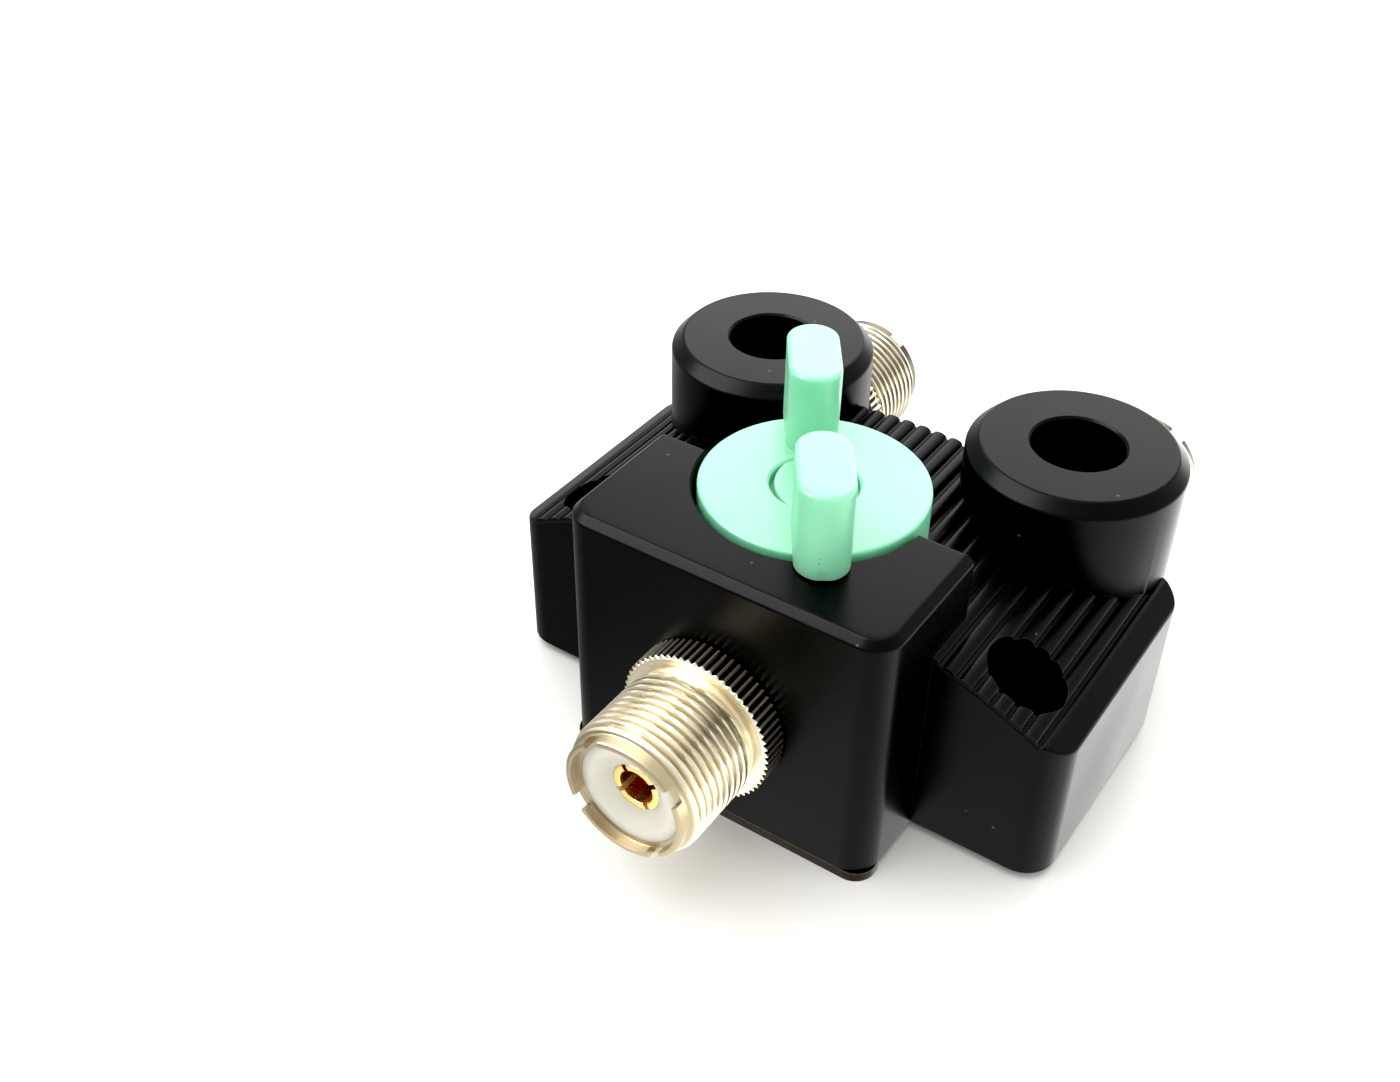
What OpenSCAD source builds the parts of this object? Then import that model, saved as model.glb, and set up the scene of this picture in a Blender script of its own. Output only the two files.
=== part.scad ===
// Two-way coaxial antenna switch: one common socket in front, two output sockets behind.
// Millimetres, +Z up. The origin is where the knob's axis meets the underside of the base plate.
// -Y is the front. The knob points at the output that it has chosen, and is drawn pointing left.

/* [Front block] */
// Width of the smooth front block
block_w = 39.3; // [38:0.1:42]
// From the knob's axis forward to the block's front face
front_reach = 19.1; // [18.5:0.1:22]
// Height of the block's flat top above the crown of the arch
block_rise = 5.3; // [5:0.1:7.5]
// How far the block's rear face stays in front of the knob's axis
block_setback = 0.4; // [0:0.1:1.5]
// Radius of the block's upright corners
block_corner_r = 3.3; // [1.5:0.1:4]
// Width of the bevel round the block's top
block_bevel = 0.9; // [0.4:0.1:1.4]

/* [Ribbed base] */
// Overall width across the two wings
wing_span = 70.3; // [69:0.1:76]
// From the knob's axis forward to the front face of the wings
wing_front = 8.7; // [8:0.1:10]
// From the knob's axis back to the rear face of the base
base_back = 24.4; // [23:0.1:27]
// Height of the arched top on the centre line, over the ribs
arch_top = 28.3; // [27.8:0.1:29.5]
// Radius of the arched top
arch_r = 68.8; // [62:0.1:90]
// Radius of the wings' upright corners
wing_corner_r = 3.7; // [1:0.1:4.5]
// Distance along the arch from one rib to the next
rib_pitch = 2.1; // [1.6:0.1:3]
// Height of each rib
rib_h = 0.5; // [0.2:0.05:0.8]
// Width of the plain band outside the last rib of each wing
plain_band = 2.5; // [1.5:0.1:4]

/* [Mounting holes] */
// Distance between the two mounting holes
mount_spacing = 55; // [54:0.1:57]
// How far the mounting holes lie in front of the knob's axis
mount_forward = 2.1; // [0:0.1:3]
// Radius of the wide upper part of each hole, which takes the screw's head
mount_head_r = 4.35; // [3.8:0.05:4.5]
// Radius of the narrow lower part of each hole
mount_hole_r = 2.3; // [1.7:0.05:2.7]
// Height of the ledge under the screw's head
mount_ledge_z = 6; // [4:0.1:10]

/* [Towers] */
// Distance between the two tower axes, which are also over the output sockets
tower_spacing = 40.1; // [39.5:0.1:42]
// From the knob's axis back to the towers' axes
tower_back = 23.5; // [23:0.1:25]
// Outer radius of a tower
tower_r = 12.4; // [12:0.1:13]
// Height of the towers' flat tops above the crown of the arch
tower_rise = 5.5; // [5:0.1:8]
// Width of the bevel round a tower's top
tower_bevel = 1.4; // [0.5:0.1:2]
// Radius of the well in a tower's top
well_r = 5.3; // [4:0.1:6.5]
// Depth of the well
well_depth = 9; // [5:0.1:9.5]

/* [Sockets] */
// Height of the three socket axes above the bench
socket_z = 15.6; // [15.2:0.1:16]
// From the knob's axis back to the face that the output sockets seat on
rear_reach = 34.7; // [34:0.1:37]
// Radius of the casting's round boss behind each output socket's collar
boss_r = 10.2; // [10:0.1:11.8]
// From a socket's seat to its mouth
socket_len = 16; // [15:0.1:18]
// Outer radius of the knurled collar
collar_r = 9.1; // [8.6:0.1:9.6]
// Thickness of the collar
collar_t = 3.5; // [2.5:0.1:4]
// Number of teeth on the collar
knurl_count = 64; // [40:1:80]
// Depth of the collar's teeth
knurl_depth = 0.4; // [0.2:0.05:0.6]
// Outer radius of the 5/8 inch, 24 turns per inch coupling thread
thread_r = 7.94; // [7.8:0.01:8.1]
// Axial length of one turn of the thread
thread_pitch = 1.058; // [0.9:0.001:1.3]
// Length of the plain neck between the collar and the thread
neck_len = 0.4; // [0.2:0.1:1.2]
// Outer radius of the plain lead-in at the mouth
rim_r = 7.2; // [7:0.05:7.25]
// Least length of the plain lead-in
rim_len = 1.5; // [1.4:0.1:2.5]
// Depth of the four notches in the mouth
notch_depth = 1.1; // [0.5:0.1:1.3]
// Width of the four notches
notch_w = 2; // [1:0.1:3]
// Direction of the first notch and contact slot round the socket's axis
notch_angle = 33; // [0:1:89]
// Radius of the shell's bore, which the insulator fills
insulator_r = 6; // [5.6:0.05:6.2]
// How far the insulator's face lies inside the mouth
insulator_recess = 1.2; // [0.8:0.1:2]
// Radius of the shell's threaded stub, which screws into the casting
stub_r = 7; // [6.6:0.05:7.2]
// Length of the stub
stub_len = 5.5; // [4:0.1:5.8]

/* [Socket contacts] */
// Outer radius of the centre contact
contact_r = 2.85; // [2.6:0.05:3]
// Radius of the contact's bore, for a 4 mm plug pin
contact_bore_r = 2; // [1.95:0.01:2.1]
// Depth of the contact's bore
contact_bore_depth = 9; // [7:0.1:9.5]
// How far the contact's face lies behind the insulator's
contact_recess = 1.1; // [0.2:0.1:1.5]
// Width of the four slots in the contact
contact_slot_w = 0.6; // [0.4:0.05:0.8]
// Radius of the contact's solder tail
tail_r = 1.3; // [1:0.05:1.6]
// How far the tail stands out of the wall inside the casting
tail_len = 4.5; // [4.3:0.1:5]

/* [Knob] */
// Radius of the knob's drum
knob_r = 12.6; // [12.4:0.1:13.2]
// Radial gap between the drum and the round recess that it turns in
knob_gap = 0.55; // [0.3:0.05:0.9]
// How far the drum's top stands above the block's top
knob_proud = 0.4; // [0.4:0.1:1]
// Height of the two finger posts above the drum's top
post_h = 9.9; // [7:0.1:13]
// Width of a finger post
post_w = 5.8; // [4.5:0.1:7]
// Length of a finger post
post_len = 11.9; // [10.5:0.1:12.4]
// From the knob's axis to a post's outer end
post_reach = 16.5; // [15.5:0.1:17]
// Gap between a post's overhanging end and the block's top
post_gap = 0.3; // [0.1:0.05:0.4]
// Angle that the knob turns from one output to the other
knob_turn = 68; // [60:1:72]
// Radius of the round cap in the knob's centre
cap_r = 4.8; // [4:0.1:4.9]
// Thickness of the cap
cap_t = 1.4; // [1:0.1:1.8]
// Width of the cap across its two flattened sides, where it is prised out
cap_waist = 8.7; // [7.8:0.1:9.2]
// Width of the index mark at the foot of the front post
mark_w = 1.6; // [1:0.1:2.4]
// Height of the index mark
mark_h = 1.3; // [1.2:0.1:3]
// Depth of the round seat that the casting has for the knob, below the crown of the arch
seat_cut = 1.1; // [0.8:0.1:1.5]

/* [Turning parts] */
// Radius of the shaft
shaft_r = 3; // [2.6:0.05:3.2]
// Radial clearance of the shaft in its bush
shaft_play = 0.05; // [0.02:0.01:0.09]
// Outer radius of the bush
bush_r = 4.5; // [4.2:0.1:5]
// Outer radius of the bush's flange and of the thrust washer on it
flange_r = 6.2; // [5.6:0.1:6.6]
// Thickness of the bush's flange
flange_t = 0.8; // [0.5:0.1:1]
// Thickness of the thrust washer
washer_t = 0.5; // [0.3:0.05:0.7]
// Thickness of the knob's web, which the knob screw clamps
web_t = 2.4; // [2:0.1:2.6]
// Radius of the knob screw's head
screw_head_r = 2.75; // [2.4:0.05:3.2]
// Radius of the knob screw's shank
screw_shank_r = 1.5; // [1.2:0.05:1.6]
// Length of the knob screw's shank
screw_shank_len = 7; // [5:0.1:8]
// Radius of the rotor's hub
hub_r = 6; // [5:0.1:6.5]
// Height of the rotor
rotor_h = 4; // [3.6:0.1:4.2]
// Width of the rotor's arm
arm_w = 5; // [4:0.1:6]
// Outer radius of the retaining clip
clip_r = 5; // [4.6:0.1:5.5]
// Thickness of the retaining clip
clip_t = 0.6; // [0.4:0.05:0.7]
// Radius of the pin that holds the rotor on the shaft
rotor_pin_r = 0.75; // [0.5:0.05:0.9]
// Radius of the rivet that holds the blade on the rotor
rivet_r = 0.8; // [0.6:0.05:0.9]
// Radius of the detent ball
ball_r = 1.5; // [1.3:0.05:1.6]
// How far the ball rises into a notch at each end of its track
ball_rise = 0.35; // [0.2:0.05:0.5]
// Radius of the stop pin
stop_pin_r = 1; // [0.8:0.05:1.2]

/* [Signal path] */
// Radius of the chamber that the rotor turns in
chamber_r = 11; // [10.6:0.1:11.4]
// Width of the three channels that run from the chamber to the sockets
channel_w = 9; // [8:0.1:9.6]
// Thickness of the wall that each socket screws into
socket_wall = 6; // [5.9:0.1:6.4]
// Width of the feed strips and of the contact blade
strip_w = 4; // [3.4:0.1:4.4]
// Thickness of the feed strips
strip_t = 0.8; // [0.5:0.1:1]
// Thickness of the springy contact blade
blade_t = 0.5; // [0.3:0.05:0.6]
// Gap left between the blade and the strips that it slides on
contact_gap = 0.05; // [0.02:0.01:0.1]
// Radius of the insulating posts under the feed strips
feed_post_r = 2.2; // [1.8:0.1:2.6]
// Radius of the pivot peg under the rotor
peg_r = 1.4; // [1.1:0.05:1.6]

/* [Base plate] */
// Thickness of the plate under the casting
plate_t = 1.2; // [0.8:0.1:1.6]
// Length of the full-width lip along the block's front
plate_lip = 5.4; // [5:0.1:8]
// Radius of the plate's two front corners
lip_corner_r = 2.5; // [1.5:0.1:2.5]
// How far the plate stays inside the casting elsewhere
plate_inset = 1.6; // [1:0.1:1.9]
// Radius of the base screws' shanks
base_screw_r = 1.25; // [1:0.05:1.4]
// Radius of the base screws' heads
base_head_r = 2.3; // [2:0.05:2.4]
// Length of the base screws
base_screw_len = 9; // [6:0.1:12]

/* [Hidden] */
$fn = 64;

paint_black = [0.07, 0.07, 0.075];
nickel = [0.78, 0.75, 0.68];
gold = [0.86, 0.62, 0.22];
ptfe = [0.93, 0.93, 0.91];
jade = [0.48, 0.87, 0.70];
steel = [0.62, 0.62, 0.63];
brass = [0.80, 0.66, 0.36];
silver = [0.86, 0.86, 0.84];
plate_colour = [0.20, 0.15, 0.10];

through = 0.01;

// Where the parts lie
tower_x = tower_spacing / 2;
block_top = arch_top + block_rise;
tower_top = arch_top + tower_rise;
knob_rest = knob_turn / 2;
knob_top = block_top + knob_proud;
seat_z = arch_top - seat_cut;
blade_z = socket_z + strip_t + contact_gap;
rotor_z = blade_z + blade_t;
rotor_top = rotor_z + rotor_h;
clip_z = rotor_top + 0.2;
chamber_top = clip_z + clip_t + 0.1;
deck_t = seat_z - chamber_top;
washer_z = seat_z + flange_t;
web_z = washer_z + washer_t + 0.05;
web_top = web_z + web_t;
cap_z = knob_top - 0.1 - cap_t;
skirt_z = seat_z + 0.3;
drive_top = web_top - 0.8;
shaft_top = drive_top - 0.1;
shaft_bottom = rotor_top - rotor_h * 0.75;
screw_head_h = cap_z - web_top - 0.3;
screw_tip = web_top - screw_shank_len;
rotor_pin_z = rotor_top - rotor_h * 0.375;
rivet_reach = hub_r - rivet_r;
rivet_grip = rotor_h * 0.45;
countersink_h = plate_t * 0.8;
screw_play = 0.05;
strip_end = socket_wall + tail_len / 2;

// The detent ball and the stop pin, on opposite sides of the shaft
track_reach = knob_r - 3;
ball_z = seat_z - 0.85;
ball_bore_r = ball_r + 0.05;
ball_hole_floor = chamber_top + 1;
track_r = sqrt(pow(ball_r, 2) - pow(skirt_z - ball_z, 2)) + 0.15;
track_top = ball_z + ball_r + 0.05;
notch_play = 0.2;
spring_h = ball_z - ball_r * 0.8 - ball_hole_floor;
stop_slot_r = stop_pin_r + 0.1;
stop_pin_top = skirt_z + 2;

// Where the blade meets the output strips
touch_reach = chamber_r - strip_w * 0.45;
left_touch = [-touch_reach * sin(knob_rest), touch_reach * cos(knob_rest)];
left_tail = [-tower_x, rear_reach - strip_end];
front_tail = [0, strip_end - front_reach];

// Positions along a socket, counted outwards from its seat
thread_depth = 0.61 * thread_pitch;
flank = thread_depth * tan(30);
thread_start = collar_t + neck_len;
thread_turns = floor((socket_len - rim_len - thread_start) / thread_pitch);
thread_end = thread_start + thread_turns * thread_pitch;
thread_root_r = thread_r - thread_depth;
insulator_face = socket_len - insulator_recess;
contact_face = insulator_face - contact_recess;
contact_back = contact_face - contact_bore_depth - contact_r * 0.35;

// Screws that hold the base plate: two in the block, one behind the chamber, one in each tower
front_screw = [block_w / 2 - 5, 3.6 - front_reach];
rear_screw_y = base_back - 4.5;
tower_screw = [tower_x + 7, tower_back - 3];
base_screw_places = [front_screw, [-front_screw[0], front_screw[1]], [0, rear_screw_y],
    tower_screw, [-tower_screw[0], tower_screw[1]]];

// A flat bar with round ends from one point to another
module bar(start, end, width) {
    run = end - start;
    translate(start)
        rotate(atan2(run[1], run[0]))
            translate([0, -width / 2])
                square([norm(run), width]);
    translate(start) circle(r = width / 2);
    translate(end) circle(r = width / 2);
}

// A rectangle between two corners, with round corners
module rounded_rect(low, high, r) {
    translate([low[0] + r, low[1]]) square([high[0] - low[0] - 2 * r, high[1] - low[1]]);
    translate([low[0], low[1] + r]) square([high[0] - low[0], high[1] - low[1] - 2 * r]);
    for (x = [low[0] + r, high[0] - r], y = [low[1] + r, high[1] - r])
        translate([x, y]) circle(r = r);
}

// A straight prism lying along Y, drawn in X and Z
module along_y(from, to) {
    translate([0, to, 0]) rotate([90, 0, 0]) linear_extrude(height = to - from) children();
}

// A straight prism lying along X, drawn in Y and Z
module along_x(from, to) {
    translate([from, 0, 0]) rotate([90, 0, 90]) linear_extrude(height = to - from) children();
}

module mirror_pair() {
    children();
    mirror([1, 0, 0]) children();
}

// Sloping crown of the block: the bevel on its four top edges and round corners
module block_crown(low, high) {
    r = block_corner_r;
    b = block_bevel;
    z = block_top - b;
    along_y(low[1] + r, high[1] - r)
        polygon([[low[0], z], [high[0], z], [high[0] - b, block_top], [low[0] + b, block_top]]);
    along_x(low[0] + r, high[0] - r)
        polygon([[low[1], z], [high[1], z], [high[1] - b, block_top], [low[1] + b, block_top]]);
    for (x = [low[0] + r, high[0] - r], y = [low[1] + r, high[1] - r])
        translate([x, y, z]) cylinder(h = b, r1 = r, r2 = r - b);
}

module block() {
    low = [-block_w / 2, -front_reach];
    high = [block_w / 2, -block_setback];
    translate([0, 0, plate_t])
        linear_extrude(height = block_top - block_bevel - plate_t)
            rounded_rect(low, high, block_corner_r);
    block_crown(low, high);
}

// Outline of the base seen from the front: a flat bottom under an arch of rounded ribs
rib_angle = rib_pitch / arch_r * 180 / PI;
arch_end = asin((wing_span / 2 - plain_band) / arch_r);
ribs_each_side = floor(arch_end / rib_angle);
rib_steps = 6;
function arch_point(angle, sink) =
    [(arch_r - sink) * sin(angle), arch_top - arch_r + (arch_r - sink) * cos(angle)];
function rib_point(k, j) =
    arch_point((k + (1 - cos(180 * j / rib_steps)) / 2) * rib_angle, rib_h * (1 - sin(180 * j / rib_steps)));
base_outline = concat(
    [[wing_span / 2, plate_t], [-wing_span / 2, plate_t]],
    [arch_point(-asin(wing_span / 2 / arch_r), 0)],
    [arch_point(-arch_end, 0)],
    [for (k = [-ribs_each_side : ribs_each_side - 1], j = [0 : rib_steps - 1]) rib_point(k, j)],
    [rib_point(ribs_each_side, 0)],
    [arch_point(arch_end, 0)],
    [arch_point(asin(wing_span / 2 / arch_r), 0)]);

module ribbed_base() {
    intersection() {
        along_y(-wing_front, base_back) polygon(base_outline);
        linear_extrude(height = arch_top + 1)
            rounded_rect([-wing_span / 2, -wing_front], [wing_span / 2, base_back], wing_corner_r);
    }
}

module tower() {
    translate([tower_x, tower_back, plate_t])
        cylinder(h = tower_top - tower_bevel - plate_t, r = tower_r, $fn = 96);
    translate([tower_x, tower_back, tower_top - tower_bevel])
        cylinder(h = tower_bevel, r1 = tower_r, r2 = tower_r - tower_bevel, $fn = 96);
    along_y(tower_back - 3, rear_reach) {
        translate([tower_x, socket_z]) circle(r = boss_r);
        translate([tower_x - boss_r, plate_t]) square([2 * boss_r, socket_z - plate_t]);
    }
}

// Chamber and channels, open at the bottom where the base plate closes them
module signal_cavity() {
    low = plate_t - through;
    translate([0, 0, low]) cylinder(h = chamber_top - low, r = chamber_r);
    translate([0, 0, low])
        linear_extrude(height = socket_z + channel_w / 2 - low) {
            translate([-channel_w / 2, socket_wall - front_reach])
                square([channel_w, front_reach - socket_wall]);
            mirror_pair() {
                bar([0, 0], [tower_x, rear_reach - socket_wall - channel_w / 2], channel_w);
                translate([tower_x - channel_w / 2, tower_back - 4])
                    square([channel_w, rear_reach - socket_wall - tower_back + 4]);
            }
        }
}

module mounting_hole() {
    translate([mount_spacing / 2, -mount_forward, 0]) {
        cylinder(h = arch_top, r = mount_hole_r);
        translate([0, 0, mount_ledge_z]) cylinder(h = arch_top, r = mount_head_r);
    }
}

// Bored hole for a socket's stub, and the flat round face that its collar seats on
module socket_hole() {
    translate([0, 0, -socket_wall - through]) cylinder(h = socket_wall + 1, r = stub_r);
    cylinder(h = 5, r = collar_r + 0.4);
}

module housing() {
    color(paint_black)
        difference() {
            union() {
                block();
                ribbed_base();
                mirror_pair() tower();
            }
            translate([0, 0, seat_z]) cylinder(h = block_top, r = knob_r + knob_gap, $fn = 96);
            translate([0, 0, chamber_top - through]) cylinder(h = deck_t + 1, r = bush_r);
            signal_cavity();
            mirror_pair() {
                mounting_hole();
                translate([tower_x, tower_back, tower_top - well_depth])
                    cylinder(h = well_depth + 1, r = well_r);
                place_right_socket() socket_hole();
            }
            place_front_socket() socket_hole();
            for (p = base_screw_places)
                translate([p[0], p[1], 0]) cylinder(h = base_screw_len, r = base_screw_r);
            translate([0, -track_reach, ball_hole_floor]) cylinder(h = deck_t, r = ball_bore_r);
            translate([0, track_reach, ball_hole_floor]) cylinder(h = deck_t, r = stop_pin_r);
        }
}

module plate_outline() {
    lip_low = [-block_w / 2, -front_reach];
    rounded_rect(lip_low, [block_w / 2, plate_lip - front_reach], lip_corner_r);
    translate([plate_inset - block_w / 2, plate_lip - front_reach - 1])
        square([block_w - 2 * plate_inset, front_reach - plate_lip + chamber_r]);
    translate([-tower_x, chamber_r - 2]) square([2 * tower_x, base_back - chamber_r + 2 - plate_inset]);
    for (x = [-tower_x, tower_x]) translate([x, tower_back]) circle(r = tower_r - plate_inset);
}

module base_plate() {
    color(plate_colour)
        difference() {
            linear_extrude(height = plate_t) plate_outline();
            for (p = base_screw_places)
                translate([p[0], p[1], -through]) {
                    cylinder(h = plate_t + 1, r = base_screw_r + screw_play);
                    cylinder(h = countersink_h, r1 = base_head_r + screw_play, r2 = base_screw_r + screw_play);
                }
        }
}

module base_screws() {
    color(steel)
        for (p = base_screw_places)
            translate([p[0], p[1], 0])
                difference() {
                    union() {
                        cylinder(h = base_screw_len, r = base_screw_r);
                        cylinder(h = countersink_h, r1 = base_head_r, r2 = base_screw_r);
                    }
                    for (turn = [0, 90])
                        rotate(turn)
                            translate([-base_head_r * 0.6, -0.25, -through])
                                cube([base_head_r * 1.2, 0.5, 0.6]);
                }
}

// Each socket is drawn along +Z from its seat, then laid in place
module place_front_socket() {
    translate([0, -front_reach, socket_z]) rotate([90, 0, 0]) children();
}

module place_right_socket() {
    translate([tower_x, rear_reach, socket_z]) rotate([-90, 0, 0]) children();
}

module place_left_socket() {
    translate([-tower_x, rear_reach, socket_z]) rotate([-90, 0, 0]) children();
}

module socket_shell() {
    crest = (thread_pitch - 2 * flank) / 2;
    turn_outline = [[thread_root_r, crest / 2], [thread_r, crest / 2 + flank],
        [thread_r, crest * 1.5 + flank], [thread_root_r, crest * 1.5 + 2 * flank]];
    thread_outline = [for (i = [0 : thread_turns - 1], p = turn_outline)
        [p[0], thread_start + i * thread_pitch + p[1]]];
    teeth = [for (i = [0 : 2 * knurl_count - 1])
        (collar_r - (i % 2) * knurl_depth) * [cos(i * 180 / knurl_count), sin(i * 180 / knurl_count)]];
    color(nickel)
        difference() {
            union() {
                rotate_extrude($fn = 96)
                    polygon(concat(
                        [[0, -stub_len], [stub_r, -stub_len], [stub_r, 1], [thread_root_r, 1]],
                        thread_outline,
                        [[thread_root_r, thread_end], [rim_r, thread_end],
                        [rim_r, socket_len - 0.2], [rim_r - 0.2, socket_len], [0, socket_len]]));
                linear_extrude(height = collar_t) polygon(teeth);
            }
            translate([0, 0, -stub_len - through]) cylinder(h = socket_len + stub_len + 1, r = insulator_r);
            translate([0, 0, insulator_face]) cylinder(h = 5, r = (insulator_r + rim_r - 0.2) / 2);
            for (turn = [0 : 90 : 270])
                rotate(notch_angle + turn)
                    translate([insulator_r - 1, -notch_w / 2, socket_len - notch_depth])
                        cube([4, notch_w, 5]);
        }
}

module socket_insulator() {
    color(ptfe)
        difference() {
            translate([0, 0, -socket_wall]) cylinder(h = insulator_face + socket_wall, r = insulator_r);
            translate([0, 0, contact_back]) cylinder(h = socket_len, r = contact_r);
            translate([0, 0, -socket_wall - through]) cylinder(h = socket_len, r = tail_r);
        }
}

module socket_contact() {
    slot_len = contact_bore_depth * 0.78;
    color(gold)
        difference() {
            union() {
                translate([0, 0, contact_back]) cylinder(h = contact_face - contact_back, r = contact_r);
                translate([0, 0, -socket_wall - tail_len])
                    cylinder(h = socket_wall + tail_len + contact_back, r = tail_r);
            }
            translate([0, 0, contact_face - contact_bore_depth])
                cylinder(h = contact_bore_depth + 1, r = contact_bore_r);
            for (turn = [0, 90])
                rotate(notch_angle + turn)
                    translate([-contact_r - 1, -contact_slot_w / 2, contact_face - slot_len])
                        cube([2 * contact_r + 2, contact_slot_w, slot_len + 1]);
        }
}

// Cuts the upper half of a tail away, which leaves a flat that a feed strip is soldered to
module strip_flat(tail) {
    translate([tail[0] - 5, tail[1] - 8, socket_z]) cube([10, 8 + strip_end - socket_wall - 0.1, 5]);
}

module front_socket_shell() { place_front_socket() socket_shell(); }
module front_socket_insulator() { place_front_socket() socket_insulator(); }
module front_socket_contact() {
    color(gold)
        difference() {
            place_front_socket() socket_contact();
            mirror([0, 1, 0]) strip_flat([0, -front_tail[1]]);
        }
}
module left_socket_shell() { place_left_socket() socket_shell(); }
module left_socket_insulator() { place_left_socket() socket_insulator(); }
module left_socket_contact() {
    color(gold)
        difference() {
            place_left_socket() socket_contact();
            strip_flat(left_tail);
        }
}
module right_socket_shell() { place_right_socket() socket_shell(); }
module right_socket_insulator() { place_right_socket() socket_insulator(); }
module right_socket_contact() { mirror([1, 0, 0]) left_socket_contact(); }

// A slot curved round the knob's axis, that a pin or ball follows as the knob turns
module curved_slot(half_width, half_angle) {
    far = 3 * knob_r;
    intersection() {
        difference() {
            circle(r = track_reach + half_width);
            circle(r = track_reach - half_width);
        }
        polygon([[0, 0], far * [-sin(half_angle), cos(half_angle)], far * [sin(half_angle), cos(half_angle)]]);
    }
}

// The ball's track, with a deeper notch at each end
module detent_track() {
    translate([0, 0, seat_z])
        mirror([0, 1, 0]) {
            linear_extrude(height = track_top - seat_z) curved_slot(track_r, knob_rest);
            for (turn = [-knob_rest, knob_rest])
                rotate([0, 0, turn])
                    translate([0, track_reach, 0])
                        cylinder(h = track_top + ball_rise - seat_z, r = track_r + notch_play);
        }
}

// The slot whose flat ends meet the stop pin
module stop_slot() {
    pin_angle = asin(stop_slot_r / track_reach);
    translate([0, 0, seat_z])
        linear_extrude(height = stop_pin_top + 0.5 - seat_z) curved_slot(stop_slot_r, knob_rest + pin_angle);
}

module finger_post() {
    inner = post_reach - post_len + post_w / 2;
    outer = post_reach - post_w / 2;
    translate([0, 0, block_top + post_gap])
        linear_extrude(height = knob_top + post_h - block_top - post_gap)
            bar([0, inner], [0, outer], post_w);
}

// A round bar with one flat along it, as the shaft's drive end and the knob's hole for it
module drive_bar(from, to, r) {
    difference() {
        translate([0, 0, from]) cylinder(h = to - from, r = r);
        translate([-r, shaft_r * 0.7, from - 1]) cube([2 * r, r, to - from + 2]);
    }
}

// A small arched mark at the foot of the front post's outer end
module index_mark() {
    foot = block_top + post_gap;
    translate([0, 0.3 - post_reach, foot + mark_h - mark_w / 2])
        rotate([90, 0, 0]) {
            cylinder(h = 2, r = mark_w / 2);
            translate([-mark_w / 2, -mark_h, 0]) cube([mark_w, mark_h, 2]);
        }
}

module knob() {
    color(jade)
        rotate([0, 0, knob_rest])
            difference() {
                union() {
                    translate([0, 0, skirt_z]) cylinder(h = knob_top - skirt_z, r = knob_r, $fn = 96);
                    finger_post();
                    mirror([0, 1, 0]) finger_post();
                }
                translate([0, 0, skirt_z - 1]) cylinder(h = web_z - skirt_z + 1, r = flange_r + 0.4);
                drive_bar(web_z - 1, drive_top, shaft_r + 0.02);
                translate([0, 0, web_z]) cylinder(h = web_t + 1, r = screw_shank_r + 0.1);
                translate([0, 0, web_top]) cylinder(h = knob_top, r = cap_r - 0.9);
                translate([0, 0, cap_z]) cylinder(h = knob_top, r = cap_r + 0.1);
                index_mark();
                detent_track();
                stop_slot();
            }
}

module knob_cap() {
    side_r = 6;
    color(jade)
        rotate([0, 0, knob_rest])
            translate([0, 0, cap_z])
                linear_extrude(height = cap_t)
                    intersection() {
                        circle(r = cap_r);
                        translate([side_r - cap_waist / 2, 0]) circle(r = side_r);
                        translate([cap_waist / 2 - side_r, 0]) circle(r = side_r);
                    }
}

module knob_screw() {
    color(steel)
        difference() {
            union() {
                translate([0, 0, screw_tip]) cylinder(h = screw_shank_len, r = screw_shank_r);
                translate([0, 0, web_top]) cylinder(h = screw_head_h, r = screw_head_r);
            }
            for (turn = [0, 90])
                rotate(turn + knob_rest)
                    translate([-1.6, -0.35, web_top + screw_head_h - 0.8]) cube([3.2, 0.7, 2]);
        }
}

module shaft() {
    color(steel)
        difference() {
            translate([0, 0, shaft_bottom]) cylinder(h = shaft_top - shaft_bottom, r = shaft_r);
            rotate([0, 0, knob_rest])
                translate([-shaft_r, shaft_r * 0.7, web_z]) cube([2 * shaft_r, shaft_r, web_t]);
            translate([0, 0, screw_tip]) cylinder(h = screw_shank_len, r = screw_shank_r);
            translate([0, 0, clip_z - 0.05])
                difference() {
                    cylinder(h = clip_t + 0.1, r = shaft_r + 1);
                    translate([0, 0, -1]) cylinder(h = clip_t + 3, r = shaft_r * 0.8);
                }
            rotor_pin_hole();
        }
}

module shaft_bush() {
    color(brass)
        difference() {
            union() {
                translate([0, 0, chamber_top]) cylinder(h = deck_t + flange_t, r = bush_r);
                translate([0, 0, seat_z]) cylinder(h = flange_t, r = flange_r);
            }
            translate([0, 0, chamber_top - 1]) cylinder(h = deck_t + 4, r = shaft_r + shaft_play);
        }
}

module thrust_washer() {
    color(steel)
        difference() {
            translate([0, 0, washer_z]) cylinder(h = washer_t, r = flange_r);
            translate([0, 0, washer_z - 1]) cylinder(h = washer_t + 2, r = shaft_r + 0.1);
        }
}

module retaining_clip() {
    color(steel)
        rotate([0, 0, knob_rest])
            difference() {
                translate([0, 0, clip_z]) cylinder(h = clip_t, r = clip_r);
                translate([0, 0, clip_z - 1]) cylinder(h = clip_t + 2, r = shaft_r * 0.8);
                translate([-shaft_r * 0.7, 0, clip_z - 1]) cube([shaft_r * 1.4, clip_r + 1, clip_t + 2]);
            }
}

module rotor_pin_hole() {
    rotate([0, 0, knob_rest])
        translate([-hub_r - 1, 0, rotor_pin_z])
            rotate([0, 90, 0]) cylinder(h = 2 * hub_r + 2, r = rotor_pin_r);
}

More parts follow.
